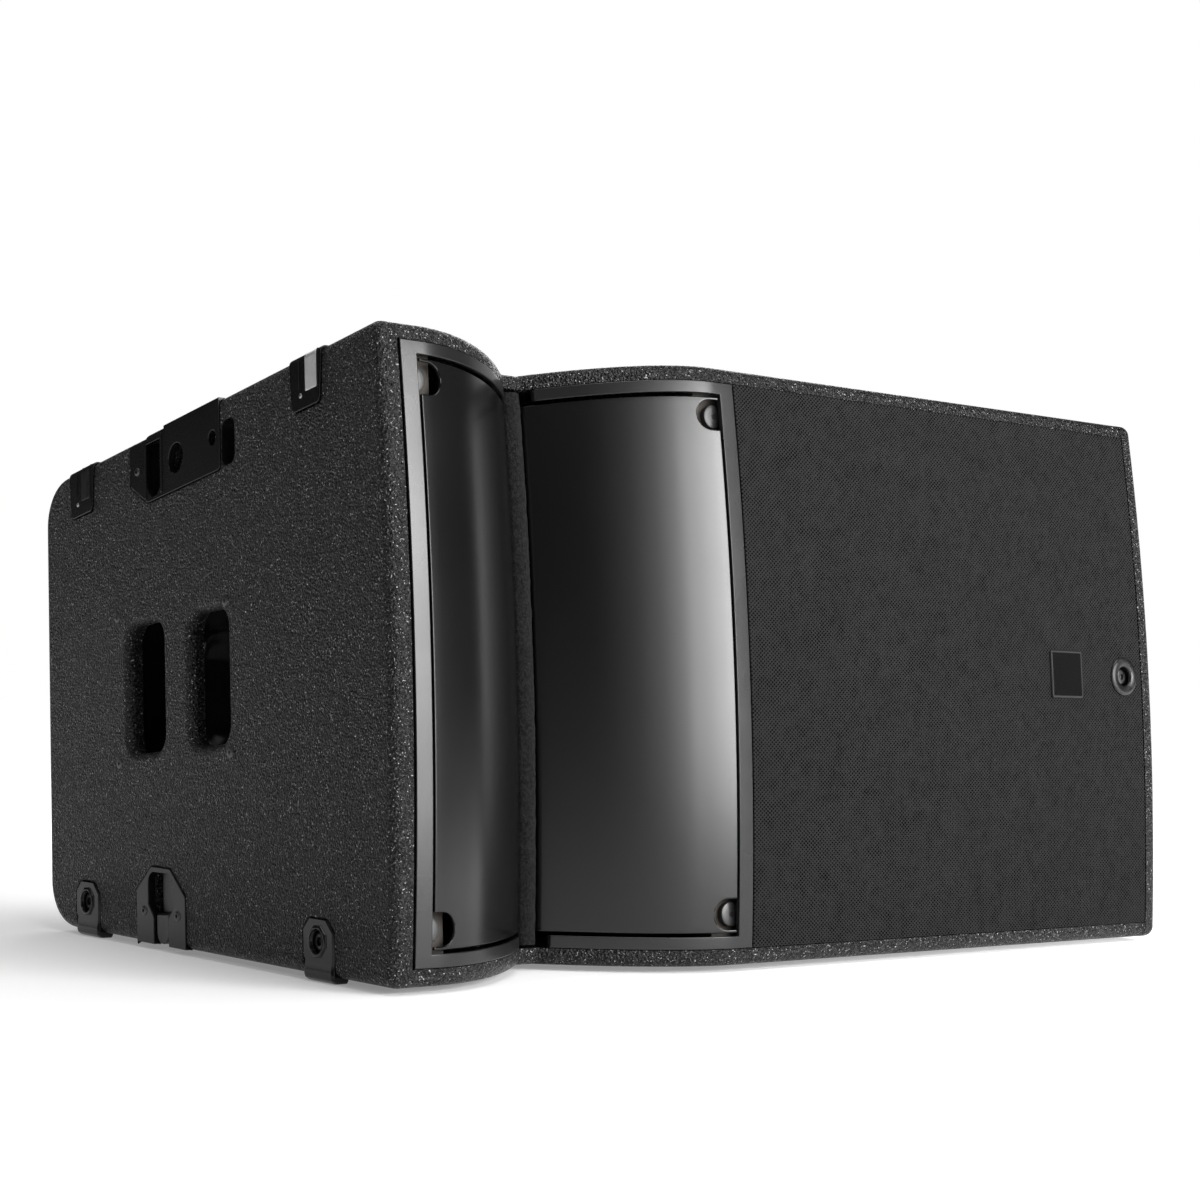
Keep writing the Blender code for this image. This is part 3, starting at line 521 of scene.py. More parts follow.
def make_fabric():
    """Knitted grille cloth: a lattice of small holes in offset rows, with soft threads between."""
    look = Look("grille_knit", (0.012, 0.012, 0.012), 0.9, specular=0.05)
    split = look.split()
    across = look.math("COSINE", look.math("MULTIPLY", split["X"], tau / KNIT_ACROSS))
    upward = look.math("COSINE", look.math("MULTIPLY", split["Z"], tau / KNIT_UPWARD))
    lattice = look.math("MULTIPLY", across, upward)
    uneven = look.noise(120.0, 3.0, 0.6)
    wide = look.noise(30.0, 3.0, 0.6)
    soft = look.math("ADD", lattice, look.math("MULTIPLY", look.math("SUBTRACT", uneven, 0.5), 1.3))
    holes = look.band(soft, 0.15, 0.85)
    thread = look.noise(1500.0, 3.0, 0.6)
    lit = look.math("ADD", look.math("MULTIPLY", wide, 0.12), look.math("MULTIPLY", thread, 0.5))
    tone = look.math("SUBTRACT", lit, look.math("MULTIPLY", holes, 0.9))
    look.blend(look.band(tone, -0.12, 0.62), (0.0001, 0.0001, 0.0001), (0.034, 0.034, 0.035))
    height = look.math("SUBTRACT", look.math("MULTIPLY", thread, 0.4), holes)
    look.bump(height, 0.0009, 1.0)
    look.fill(look.shader, {"Sheen Weight": 0.004, "Sheen Roughness": 0.4})
    return look.material


def make_powder_steel():
    look = Look("powder_coated_steel", (0.009, 0.009, 0.0095), 0.3)
    peel = look.noise(900.0, 2.0)
    look.bump(peel, 0.00006, 0.6)
    look.rough(look.band(look.noise(60.0, 3.0), 0.3, 0.7, 0.24, 0.42))
    worn = look.band(look.noise(210.0, 6.0, 0.7), 0.6, 0.78)
    look.blend(worn, (0.007, 0.007, 0.0075), (0.018, 0.018, 0.019))
    return look.material


def make_zinc(name, tone, low, high):
    """Plated or brushed steel, with fine directional lines along its length."""
    look = Look(name, (tone, tone, tone * 1.01), low, 1.0)
    lines = look.noise(60.0, 5.0, 0.7, look.stretch((18.0, 18.0, 0.8)))
    look.bump(lines, 0.00003, 0.5)
    look.rough(look.band(lines, 0.3, 0.7, low, high))
    look.blend(look.noise(90.0, 4.0), (tone * 0.82,) * 3, (tone * 1.1,) * 3)
    return look.material


def make_plywood():
    look = Look("stained_plywood", (0.05, 0.045, 0.04), 0.75)
    rings = look.noise(9.0, 6.0, 0.6, look.stretch((1.2, 14.0, 1.2)), 0.6)
    fibres = look.noise(70.0, 4.0, 0.6, look.stretch((1.0, 22.0, 1.0)))
    look.blend(look.math("MULTIPLY", rings, fibres), (0.02, 0.017, 0.014), (0.105, 0.088, 0.07))
    look.bump(fibres, 0.0002, 0.5)
    return look.material


def make_casting():
    look = Look("cast_metal", (0.34, 0.34, 0.35), 0.5, 0.9)
    look.bump(look.noise(520.0, 5.0, 0.65), 0.00025, 0.6)
    look.rough(look.band(look.noise(40.0, 4.0), 0.3, 0.7, 0.42, 0.62))
    look.blend(look.noise(25.0, 5.0), (0.27, 0.27, 0.28), (0.42, 0.42, 0.43))
    return look.material


def make_paper():
    look = Look("cone_pulp", (0.03, 0.03, 0.032), 0.8)
    fibres = look.noise(300.0, 8.0, 0.75, None, 1.5)
    look.bump(fibres, 0.0004, 0.6)
    look.blend(fibres, (0.016, 0.016, 0.017), (0.062, 0.06, 0.058))
    return look.material


def make_rubber(name, tone, roughness):
    look = Look(name, (tone, tone, tone), roughness)
    look.bump(look.noise(1300.0, 3.0), 0.0001, 0.5)
    look.blend(look.noise(50.0, 4.0), (tone * 0.8,) * 3, (tone * 1.35,) * 3)
    return look.material


def make_coil():
    look = Look("copper_winding", (0.6, 0.32, 0.18), 0.35, 1.0)
    look.bump(look.noise(40.0, 0.0, 0.5, look.stretch((1.0, 60.0, 1.0))), 0.0002, 0.8)
    look.blend(look.noise(200.0, 3.0), (0.48, 0.24, 0.12), (0.72, 0.42, 0.24))
    return look.material


def make_spider():
    look = Look("resin_cloth", (0.5, 0.36, 0.18), 0.85)
    weave = look.math("MULTIPLY", look.math("ADD", look.noise(900.0, 1.0), look.noise(600.0, 1.0)), 0.5)
    look.bump(weave, 0.0003, 0.8)
    look.blend(weave, (0.38, 0.26, 0.11), (0.6, 0.46, 0.25))
    return look.material


def make_board():
    look = Look("circuit_laminate", (0.02, 0.1, 0.05), 0.4)
    tracks = look.band(look.cells(140.0, 0.3, 0.1), 0.35, 0.45)
    look.blend(tracks, (0.012, 0.08, 0.04), (0.04, 0.17, 0.08))
    look.bump(tracks, 0.0001, 0.4)
    return look.material


def make_looks():
    return {
        "coat": make_coat(),
        "trim": make_satin("satin_trim", 0.009, 0.26, 0.32),
        "flare": make_satin("satin_flare", 0.003, 0.23, 0.26, 1800.0, 0.000012),
        "felt": make_foam(),
        "fabric": make_fabric(),
        "steel": make_powder_steel(),
        # bright steel, used only for the strip on the front top feet: painted light, a lit copy of the
        # rear feet's dark strip
        "bright": make_zinc("satin_steel_painted_lit", 0.85, 0.42, 0.58),
        "zinc": make_zinc("zinc_plated_steel", 0.48, 0.3, 0.48),
        "plastic": make_satin("moulded_plastic", 0.008, 0.2, 0.3, 1400.0, 0.00003),
        "gloss_steel": make_satin("gloss_black_steel", 0.006, 0.16, 0.24, 500.0, 0.00001, 0.28),
        "gloss": make_satin("gloss_plastic", 0.004, 0.16, 0.24, 300.0, 0.000004),
        "border": make_satin("grey_border", 0.016, 0.35, 0.45),
        "plywood": make_plywood(),
        "casting": make_casting(),
        "magnet": make_rubber("magnet_paint", 0.028, 0.5),
        "rubber": make_rubber("butyl_rubber", 0.02, 0.6),
        "paper": make_paper(),
        "coil": make_coil(),
        "spider": make_spider(),
        "board": make_board(),
        "screw": make_zinc("black_zinc_screw", 0.1, 0.3, 0.45),
        "dull": make_satin("dull_grey_paint", 0.03, 0.32, 0.4),
        "dark_bar": make_zinc("black_steel_bar", 0.055, 0.24, 0.38),
    }


LOOKS = make_looks()

# the CAD's material slots and the look that each takes where a CAD node stays visible
SLOT_LOOKS = {
    "textured_black_coat": "coat", "black_stained_plywood": "plywood", "satin_black_trim": "trim",
    "satin_black_flare": "flare", "black_foam": "felt", "black_steel": "steel",
    "bright_steel": "zinc", "black_plastic": "plastic", "cast_aluminium": "casting",
    "black_magnet": "magnet", "surround_rubber": "rubber", "cone_paper": "paper",
    "coil_copper": "coil", "grille_fabric": "fabric", "spider_cloth": "spider",
    "circuit_board": "board", "gloss_black_badge": "gloss",
}


def repaint_frame():
    """Give every CAD node the look of its slot."""
    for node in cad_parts.values():
        for holder in node.material_slots:
            name = holder.material.name.split(".")[0] if holder.material else ""
            holder.material = LOOKS[SLOT_LOOKS.get(name, "plastic")]


# ---------------------------------------------------------------- cabinet panels
def side_x(side, depth):
    return side * (HALF_WIDTH - depth)


def edge_outline(edge, points):
    """Turn (y, distance in from the sloped edge) into (y, z); edge is +1 at the top, -1 below."""
    return [(y, edge * (half_height(y) - inset)) for y, inset in points]


def side_loops(side, rings):
    """Loops on the side face from (depth, outline of (y, z)) pairs."""
    return [[(side_x(side, depth), y, z) for y, z in outline] for depth, outline in rings]


def edge_prism(side, edge, points, low, high):
    """Loops of a block from depth low to depth high; points are as in edge_outline."""
    outline = edge_outline(edge, points)
    return side_loops(side, ((low, outline), (high, outline)))


def upper_foot_points(centre_y, grow=0.0, overrun=0.0):
    narrow = FOOT_NARROW / 2 + grow
    tall = FOOT_TALL + grow
    wide = FOOT_WIDE / 2 + grow + overrun * (FOOT_WIDE - FOOT_NARROW) / (2 * FOOT_TALL)
    return mirrored(centre_y, [(wide, -overrun), (narrow, tall)])


def lower_foot_points(centre_y, grow=0.0, overrun=0.0):
    half = FOOT_WIDE / 2 - FOOT_TRIM + grow
    tall = FOOT_TALL + grow
    shoulder = FOOT_TALL - FOOT_CORNER + grow / 2
    top = FOOT_WIDE / 2 - FOOT_TRIM - FOOT_CORNER + grow / 2
    return mirrored(centre_y, [(half, -overrun), (half, shoulder), (top, tall)])


def top_plate_points(grow=0.0, overrun=0.0):
    front = TOP_PLATE_FRONT - grow
    rear = PLATE_REAR + grow
    return [(front, -overrun), (front, 0.052 + grow), (0.31 + grow, 0.052 + grow),
            (rear, 0.034 + grow), (rear, -overrun)]


def bottom_plate_points(grow=0.0, overrun=0.0):
    front = BOTTOM_PLATE_FRONT - grow
    rear = PLATE_REAR + grow
    return [(front, -overrun), (front, 0.038 + grow), (0.286, 0.057 + grow),
            (0.314, 0.057 + grow), (rear, 0.038 + grow), (rear, -overrun)]


# radius of each corner of the four outlines above
UPPER_FOOT_CORNERS = (0.0, 0.004, 0.004, 0.0)
LOWER_FOOT_CORNERS = (0.0, 0.002, 0.002, 0.002, 0.002, 0.0)
TOP_PLATE_CORNERS = (0.0, 0.003, 0.004, 0.004, 0.0)
BOTTOM_PLATE_CORNERS = (0.0, 0.003, 0.005, 0.005, 0.003, 0.0)


def seat_cutter(side, edge, points, corners):
    """A cutter for a flat recess, open at the cabinet's edge, with a small chamfer at its mouth."""
    rings = []
    for level, grow in ((-OVER, CHAMFER), (0.0, CHAMFER), (CHAMFER, 0.0), (RECESS, 0.0)):
        outline = round_corners(points(grow + SEAT_GAP, OVER), corners)
        rings.append((level, edge_outline(edge, outline)))
    return lofted(side_loops(side, rings))


def ledge_cutter(side, edge, low, high):
    """A cutter for the step that a folded flange lies in."""
    return lofted(edge_prism(side, edge, rectangle(low, high, -OVER, LEDGE), RECESS / 2, FLANGE_REACH))


def make_side_wall(name, side):
    outline = side_profile()
    rings = [(depth, inset_outline(outline, inset)) for depth, inset in quarter(ROUND, 8)]
    rings.append((SIDE_WALL, outline))
    wall = solid(name, lofted(side_loops(side, rings)))

    seats = []
    for foot_y in (FRONT_FOOT_Y, REAR_FOOT_Y):
        for edge, outline_of, corners in ((1, upper_foot_points, UPPER_FOOT_CORNERS),
                                          (-1, lower_foot_points, LOWER_FOOT_CORNERS)):
            def points(grow, overrun, foot_y=foot_y, outline_of=outline_of):
                return outline_of(foot_y, grow, overrun)
            seats.append(seat_cutter(side, edge, points, corners))
            half = FOOT_WIDE / 2 + 0.0009
            seats.append(ledge_cutter(side, edge, foot_y - half, foot_y + half))
    seats.append(seat_cutter(side, 1, top_plate_points, TOP_PLATE_CORNERS))
    seats.append(seat_cutter(side, -1, bottom_plate_points, BOTTOM_PLATE_CORNERS))
    seats.append(ledge_cutter(side, 1, 0.2019, 0.2845))
    seats.append(ledge_cutter(side, -1, 0.2629, 0.3381))
    carve(wall, *seats)

    pockets = [(1, rectangle(*TONGUE_POCKET, 0.006, 0.05))]
    pockets += [(1, circle(y, inset, clearance)) for y, inset, _, clearance in PIN_HOLES]
    pockets.append((-1, rectangle(LINK_Y - 0.018, LINK_Y + 0.018, -OVER, 0.0545)))
    deep = [lofted(edge_prism(side, edge, points, RECESS / 2, 0.0132)) for edge, points in pockets]
    rings = [(level, edge_outline(1, grown(*END_POCKET, grow)))
             for level, grow in ((-OVER, CHAMFER), (0.0, CHAMFER), (CHAMFER, 0.0), (0.0115, 0.0))]
    deep.append(lofted(side_loops(side, rings)))
    carve(wall, *deep)

    steps = [(-0.002, SLOT_LIP)] + quarter(SLOT_LIP, 8)
    steps += [(0.0066, 0.0), (0.0068, SLOT_UNDERCUT), (0.018, SLOT_UNDERCUT)]
    slots = []
    for slot_y in SLOT_YS:
        rings = [(level, grown((slot_y, 0.0), SLOT_SIZE, grow)) for level, grow in steps]
        slots.append(lofted(side_loops(side, rings)))
    carve(wall, *slots)
    finish(wall, "coat", [name])


def front_contour():
    shares = spread(0.0, 1.0, 40)
    points = [(-INNER - TUCK, 0.0)]
    for sign, ordered in ((-1, reversed(shares)), (1, shares)):
        for share in ordered:
            u = THROAT_HALF + FLARE_RUN * share
            points.append((HORN_X + sign * u, flare_depth(u)))
    points.append((INNER + TUCK, 0.0))
    return points


def make_deck(name, edge):
    """Top (edge +1) or bottom (edge -1) panel, with its front edge cut to the horn's contour."""
    contour = front_contour()
    rear_y = DEPTH - REAR_ROUND + TUCK
    profile = [(0.0, DECK)] + quarter(FRONT_ROUND, 8)
    builder = bmesh.new()
    rows = []
    for setback, inset in profile:
        row = []
        for x, y in contour:
            deep = y + setback
            level = edge * (half_height(deep) - inset - UNDER)
            row.append(builder.verts.new((x, deep, level)))
        rows.append(row)
    add_rows(builder, rows)
    corners = {}
    for end, x in ((0, contour[0][0]), (1, contour[-1][0])):
        for layer, inset in ((0, DECK), (1, UNDER)):
            corners[end, layer] = builder.verts.new((x, rear_y, edge * (half_height(rear_y) - inset)))
    builder.faces.new(rows[0] + [corners[1, 0], corners[0, 0]])
    builder.faces.new(rows[-1] + [corners[1, 1], corners[0, 1]])
    builder.faces.new([corners[0, 0], corners[1, 0], corners[1, 1], corners[0, 1]])
    for end, index in ((0, 0), (1, -1)):
        builder.faces.new([row[index] for row in rows] + [corners[end, 1], corners[end, 0]])
    finish(solid(name, builder), "coat", [name])


def make_rear_panel():
    outer = rear_corner(REAR_ROUND, UNDER)
    inner = rear_corner(REAR_ROUND, SIDE_WALL)
    outline = outer + [(y, -z) for y, z in reversed(outer)]
    outline += [(y, -z) for y, z in inner] + list(reversed(inner))
    panel = solid("rear_panel_skin", lofted(prism_loops("x", outline, -INNER - TUCK, INNER + TUCK)))
    seat = []
    for level, grow in ((DEPTH + 0.01, 0.001), (DEPTH, 0.001), (DEPTH - 0.001, 0.0),
                        (DEPTH - 0.0055, 0.0)):
        ring = grown((INPUT_X, 0.0), (0.1005, 0.0605, 0.0085), grow)
        seat.append([(x, level, z) for x, z in ring])
    carve(panel, lofted(seat))
    window = rounded_rectangle(INPUT_X, 0.0, 0.085, 0.048, 0.006)
    carve(panel, lofted(prism_loops("y", window, DEPTH - 0.03, DEPTH + 0.01)))
    finish(panel, "coat", ["rear_panel"])


# ---------------------------------------------------------------- horn
def horn_point(side, u, z, setback):
    return (HORN_X + side * u, flare_depth(u) - bulge(z) + setback, z)


def add_grid_slab(builder, us, vs, surface, thickness, keep):
    """A closed slab on a grid: surface(u, v, setback) gives its points, keep(i, j) leaves windows."""
    made = {}

    def vertex(layer, i, j):
        if (layer, i, j) not in made:
            made[layer, i, j] = builder.verts.new(surface(us[i], vs[j], layer * thickness))
        return made[layer, i, j]

    kept = {(i, j) for i in range(len(us) - 1) for j in range(len(vs) - 1) if keep(i, j)}
    for i, j in sorted(kept):
        corners = [(i, j), (i + 1, j), (i + 1, j + 1), (i, j + 1)]
        builder.faces.new([vertex(0, *key) for key in corners])
        builder.faces.new([vertex(1, *key) for key in reversed(corners)])
        neighbours = [(i, j - 1), (i + 1, j), (i, j + 1), (i - 1, j)]
        for index, neighbour in enumerate(neighbours):
            if neighbour in kept:
                continue
            first = corners[index]
            second = corners[(index + 1) % 4]
            builder.faces.new((vertex(0, *second), vertex(0, *first),
                               vertex(1, *first), vertex(1, *second)))


def make_horn_frame(side, label):
    outer = HORN_HALF - 0.0005
    window = HORN_HALF - FRAME_BAND
    end_band = FRAME_END_BAND / HALF_HEIGHT
    us = spread(THROAT_HALF + 0.0055, window, 48) + [outer]
    vs = [-1.0] + spread(-1.0 + end_band, 1.0 - end_band, 48) + [1.0]

    def surface(u, v, setback):
        z = v * trim_half(flare_depth(u))
        return horn_point(side, u, z, 0.0005 + setback)

    def border(i, j):
        return i == len(us) - 2 or j in (0, len(vs) - 2)

    builder = bmesh.new()
    add_grid_slab(builder, us, vs, surface, 0.004, border)
    trim = solid("horn_trim_" + label, builder)
    finish(trim, "trim", ["horn_frame_" + label], bevel=0.0007, crease=40.0)


def flare_outline():
    """Outline of a flare as (u, z), with a D-shaped notch at each outer corner."""
    low_u = THROAT_HALF + 0.0004
    high_u = HORN_HALF - FRAME_BAND - FLARE_GAP
    margin = FRAME_END_BAND + FLARE_GAP
    upper = [(u, trim_half(flare_depth(u)) - margin) for u in spread(low_u, high_u, 60)]
    notch_u = high_u - 0.0075
    radius = 0.011
    notch = [(high_u, SCREW_LEVEL + radius)]
    notch += arc(notch_u, SCREW_LEVEL, radius, 90.0, 270.0, 20)
    notch += [(high_u, SCREW_LEVEL - radius)]
    half = upper + notch
    return half + [(u, -z) for u, z in reversed(half)]


def make_flare(side, label):
    """Curved satin panel: its outline is cut into a fine grid, then bent onto the horn's surface."""
    outline = flare_outline()
    builder = bmesh.new()
    builder.faces.new([builder.verts.new((u, 0.0, z)) for u, z in outline])
    low_u = outline[0][0]
    high_u = max(u for u, _ in outline)
    planes = [((u, 0.0, 0.0), (1.0, 0.0, 0.0)) for u in spread(low_u, high_u, 60)[1:-1]]
    planes += [((0.0, 0.0, z), (0.0, 0.0, 1.0)) for z in spread(-HALF_HEIGHT, HALF_HEIGHT, 44)[1:-1]]
    for point, normal in planes:
        everything = builder.verts[:] + builder.edges[:] + builder.faces[:]
        bmesh.ops.bisect_plane(builder, geom=everything, dist=FINE_CUT, plane_co=point, plane_no=normal)
    bmesh.ops.remove_doubles(builder, verts=builder.verts, dist=2e-6)
    front = {}
    rear = {}
    slab = bmesh.new()
    for vertex in builder.verts:
        u, _, z = vertex.co
        share = min(max((high_u - u) / SET_IN_RUN, 0.0), 1.0)
        set_in = SET_IN_EDGE + SET_IN_MORE * share * (2.0 - share)
        front[vertex.index] = slab.verts.new(horn_point(side, u, z, set_in))
        rear[vertex.index] = slab.verts.new(horn_point(side, u, z, set_in + FLARE_THICK))
    builder.verts.index_update()
    for face in builder.faces:
        slab.faces.new([front[v.index] for v in face.verts])
        slab.faces.new([rear[v.index] for v in reversed(face.verts)])
    for edge in builder.edges:
        if len(edge.link_faces) == 1:
            first, second = edge.verts
            slab.faces.new((front[first.index], front[second.index],
                            rear[second.index], rear[first.index]))
    builder.free()
    panel = solid("horn_skin_" + label, slab)
    finish(panel, "flare", ["horn_flare_" + label], bevel=0.0008, crease=45.0)


def make_throat_felt():
    """Felt strip in the slot between the flares, with a slightly uneven surface."""
    half = THROAT_HALF - 0.0004
    builder = bmesh.new()
    us = spread(-half, half, 8)
    vs = spread(-1.0, 1.0, 160)

    def surface(u, v, setback):
        z = v * trim_half(FLARE_DEPTH + 0.022)
        ripple = 0.0004 * sin(61.0 * v + 9.0 * sin(17.0 * v))
        crown = 0.0035 * (1.0 - (u / half) ** 2)
        front = 0.0 if setback else ripple - crown
        return (HORN_X + u, FLARE_DEPTH + 0.0045 - bulge(z) + front + setback, z)

    add_grid_slab(builder, us, vs, surface, 0.014, lambda i, j: True)
    strip = solid("throat_felt", builder)
    finish(strip, "felt", ["throat_foam"], crease=60.0)


def add_screw(builder, to_point, radius, rise, socket, depth, shank=0.004, sides=6):
    """A domed screw head with a socket: to_point(level, a, b) places a point on its axis system."""
    steps = 36
    loops = []

    def ring(level, size):
        return [to_point(level, size * cos(t), size * sin(t))
                for t in (tau * k / steps for k in range(steps))]

    def sided(level, size):
        points = []
        for k in range(steps):
            t = tau * k / steps
            part = tau / sides
            reach = size * cos(part / 2) / cos((t % part) - part / 2)
            points.append(to_point(level, reach * cos(t), reach * sin(t)))
        return points

    loops.append(ring(-shank, radius * 0.98))
    loops.append(ring(0.0, radius))
    for turn in (20.0, 40.0, 60.0, 75.0):
        angle = radians(turn)
        loops.append(ring(rise * sin(angle), socket * 1.15 + (radius - socket * 1.15) * cos(angle)))
    loops.append(sided(rise, socket * 1.06))
    loops.append(sided(rise - 0.0003, socket))
    loops.append(sided(rise - depth, socket))
    loops.append(ring(rise - depth * 1.15, socket * 0.2))
    add_loft(builder, loops)


def make_flare_screws():
    boss_u = HORN_HALF - FRAME_BAND - FLARE_GAP
    for side, label in SIDES:
        for sign, place_name in ((1, "upper"), (-1, "lower")):
            def to_point(level, a, b, side=side, sign=sign):
                return (HORN_X + side * boss_u + a, 0.0052 - level, sign * SCREW_LEVEL + b)
            builder = bmesh.new()
            add_screw(builder, to_point, 0.0085, 0.0007, 0.002, 0.0014)
            head = solid("flare_screw_head_%s_%s" % (label, place_name), builder)
            finish(head, "dull", ["flare_screw_%s_%s" % (label, place_name)])


# ---------------------------------------------------------------- grille
def make_grille():
    half = trim_half(0.0)
    columns = spread(GRILLE_LEFT, GRILLE_RIGHT, 40)
    rows = spread(-1.0, 1.0, 48)

    def surface(u, v, setback):
        z = v * half
        return (u, 0.0005 + setback - bulge(z), z)

    builder = bmesh.new()
    add_grid_slab(builder, columns, rows, surface, 0.0012, lambda i, j: True)
    cloth = solid("grille_knit_cloth", builder)
    carve(cloth, lofted(prism_loops("y", circle(CUP_X, 0.0, 0.0085), -0.02, 0.01)))
    finish(cloth, "fabric", ["grille_cloth"], bevel=0.0004, crease=50.0)

    face_y = -BULGE + 0.0005
    builder = bmesh.new()
    washer = [(0.016, -0.0002), (0.016, -0.0008)]
    washer += [(0.012 + 0.004 * cos(t), -0.0008 - 0.0018 * sin(t))
               for t in spread(0.0, pi / 2, 6)[1:]]
    washer += [(0.0092, -0.0022), (0.0082, -0.0012), (0.008, 0.0004), (0.008, -0.0002)]
    add_turned(builder, "y", washer, (CUP_X, 0.0, face_y))
    ring = solid("cup_washer", builder)
    finish(ring, "steel", ["grille_cup_washer"])

    def to_point(level, a, b):
        return (CUP_X + a, face_y + 0.0032 - level, b)

    builder = bmesh.new()
    add_screw(builder, to_point, 0.0068, 0.0016, 0.0026, 0.0018)
    head = solid("grille_screw_head", builder)
    finish(head, "screw", ["grille_screw"])

    rings = []
    for level, grow in ((face_y - 0.0002, 0.0), (face_y - 0.0014, 0.0), (face_y - 0.0018, -0.0004),
                        (face_y - 0.0018, -0.0013), (face_y - 0.0013, -0.0016)):
        ring = rounded_rectangle(BADGE_X, 0.0, 0.019 + grow, 0.019 + grow, 0.0018 + max(grow, -0.001))
        rings.append([(x, level, z) for x, z in ring])
    finish(solid("badge_border", lofted(rings)), "border", ["badge"])
    inner = rounded_rectangle(BADGE_X, 0.0, 0.0174, 0.0174, 0.0008)
    plate = solid("badge_face", lofted(prism_loops("y", inner, face_y - 0.0016, face_y - 0.0012)))
    finish(plate, "gloss", bevel=0.0001)


# ---------------------------------------------------------------- side hardware
def wrapped_loops(side, edge, low, high, tall, proud, back, reach, bend, corner, thick=0.003):
    """Loops of a bracket that covers the side face and folds over the cabinet's sloped edge.

    low(inset) and high(inset) give its two sides along Y; corner rounds its inner corners."""
    loops = []
    width = high(0.0) - low(0.0)
    gaps = [gap for gap, _ in quarter(corner, 6)]
    shares = [gap / width for gap in gaps] + [1.0 - gap / width for gap in reversed(gaps)]
    for share in shares:
        near = min(share, 1.0 - share) * width
        shorten = 0.0
        if near < corner:
            shorten = corner - sqrt(max(corner ** 2 - (corner - near) ** 2, 0.0))
        end = tall - shorten
        profile = [(-proud, end), (-proud, bend + 0.0004)]
        profile += [(-proud + a, 0.0002 + b) for a, b in quarter(bend, 6)[1:]]
        profile += [(reach, 0.0002), (reach, thick), (back, thick), (back, end)]
        loop = []
        for depth, inset in profile:
            y = low(inset) + (high(inset) - low(inset)) * share
            loop.append((side_x(side, depth), y, edge * (half_height(y) - inset)))
        loops.append(loop)
    return loops


def straight(value):
    return lambda inset: value


def tapered(centre, sign, wide, narrow, tall):
    def at(inset):
        share = min(max(inset / tall, 0.0), 1.0)
        return centre + sign * (wide + (narrow - wide) * share) / 2
    return at


def side_screw(name, side, y, z, radius, rise, socket, look, depth, nodes=()):
    def to_point(level, a, b):
        return (side_x(side, depth - level), y + a, z + b)
    builder = bmesh.new()
    add_screw(builder, to_point, radius, rise, socket, rise + 0.0012)
    finish(solid(name, builder), look, nodes)


def make_top_foot(side, label, row, foot_y):
    name = "foot_top_%s_%s" % (row, label)
    low = tapered(foot_y, -1, FOOT_WIDE, FOOT_NARROW, FOOT_TALL)
    high = tapered(foot_y, 1, FOOT_WIDE, FOOT_NARROW, FOOT_TALL)
    body = solid(name + "_body", lofted(wrapped_loops(
        side, 1, low, high, FOOT_TALL, 0.0012, PLATE_BACK, FLANGE_REACH, 0.0045, 0.004)))
    groove = rectangle(foot_y + 0.002, foot_y + 0.0085, -0.004, 0.024)
    groove = round_corners(groove, (0.0, 0.0, 0.002, 0.002))
    carve(body, lofted(edge_prism(side, 1, groove, THROUGH[0], -0.0004)))
    finish(body, "gloss_steel", [name], bevel=0.0006)
    # The strip on the front foot is bright steel and the one on the rear foot dark steel: painted light
    # and shade on two copies of one part, the front one lit and the rear one shaded.
    strip = solid(name + "_painted_light_strip", lofted(wrapped_loops(
        side, 1, straight(foot_y - 0.0145), straight(foot_y - 0.001), 0.027, 0.0019, 0.0,
        FLANGE_REACH - 0.002, 0.005, 0.0008, 0.0012)))
    finish(strip, "bright" if row == "front" else "dark_bar", bevel=0.0003)
    y = foot_y + 0.006
    side_screw(name + "_screw", side, y, half_height(y) - 0.0285, 0.0018, 0.0009, 0.0008, "zinc", -0.0009)


def make_bottom_foot(side, label, row, foot_y):
    """A stem with a raised octagon round its bolt; its sole folds under the cabinet's edge."""
    name = "foot_bottom_%s_%s" % (row, label)
    half = FOOT_WIDE / 2 - FOOT_TRIM
    cut = 0.0014                   # chamfer of the stem's two long edges
    # distance in from the cabinet's edge, half width, and how far the stem stands out
    sections = ((0.038, half - FOOT_CORNER, 0.0008), (0.03, half, 0.0008), (0.0125, half, 0.0008),
                (0.01, half - 0.0012, 0.0004), (0.004, half - 0.0012, 0.001),
                (0.001, half - 0.001, 0.0014), (-0.0015, half - 0.0014, 0.0008),
                (-0.0032, half - 0.0026, -0.0012), (-0.004, half - 0.004, -0.0036))
    loops = []
    for inset, reach, proud in sections:
        back = PLATE_BACK if inset > 0.003 else FLANGE_REACH - 0.0008
        ring = mirrored(foot_y, [(reach, back), (reach, -proud + cut), (reach - cut, -proud)])
        loops.append([(side_x(side, depth), y, -(half_height(y) - inset)) for y, depth in ring])
    body = solid(name + "_body", lofted(loops))
    z = -half_height(foot_y) + BOLT_INSET

    def octagon(radius):
        turn = pi / 8
        return [(foot_y + (a - foot_y) * cos(turn) - (b - z) * sin(turn),
                 z + (a - foot_y) * sin(turn) + (b - z) * cos(turn))
                for a, b in circle(foot_y, z, radius, 8)]

    boss = [(0.002, octagon(BOSS_RADIUS)), (-0.0014, octagon(BOSS_RADIUS)), (-0.0022, octagon(0.0102))]
    carve(body, lofted(side_loops(side, boss)), operation="UNION")
    bore = [(depth, circle(foot_y, z, radius)) for depth, radius in
            ((THROUGH[0], BORE_RADIUS), (-0.002, BORE_RADIUS), (-0.0004, 0.007), (0.004, 0.0068))]
    carve(body, lofted(side_loops(side, bore)))
    finish(body, "gloss_steel", [name], bevel=0.0005, steps=2, crease=30.0)
    side_screw("foot_bolt_head_%s_%s" % (row, label), side, foot_y, z, 0.0062, 0.0006, 0.0033,
               "dark_bar", 0.0012, ["foot_bolt_%s_%s" % (row, label)])


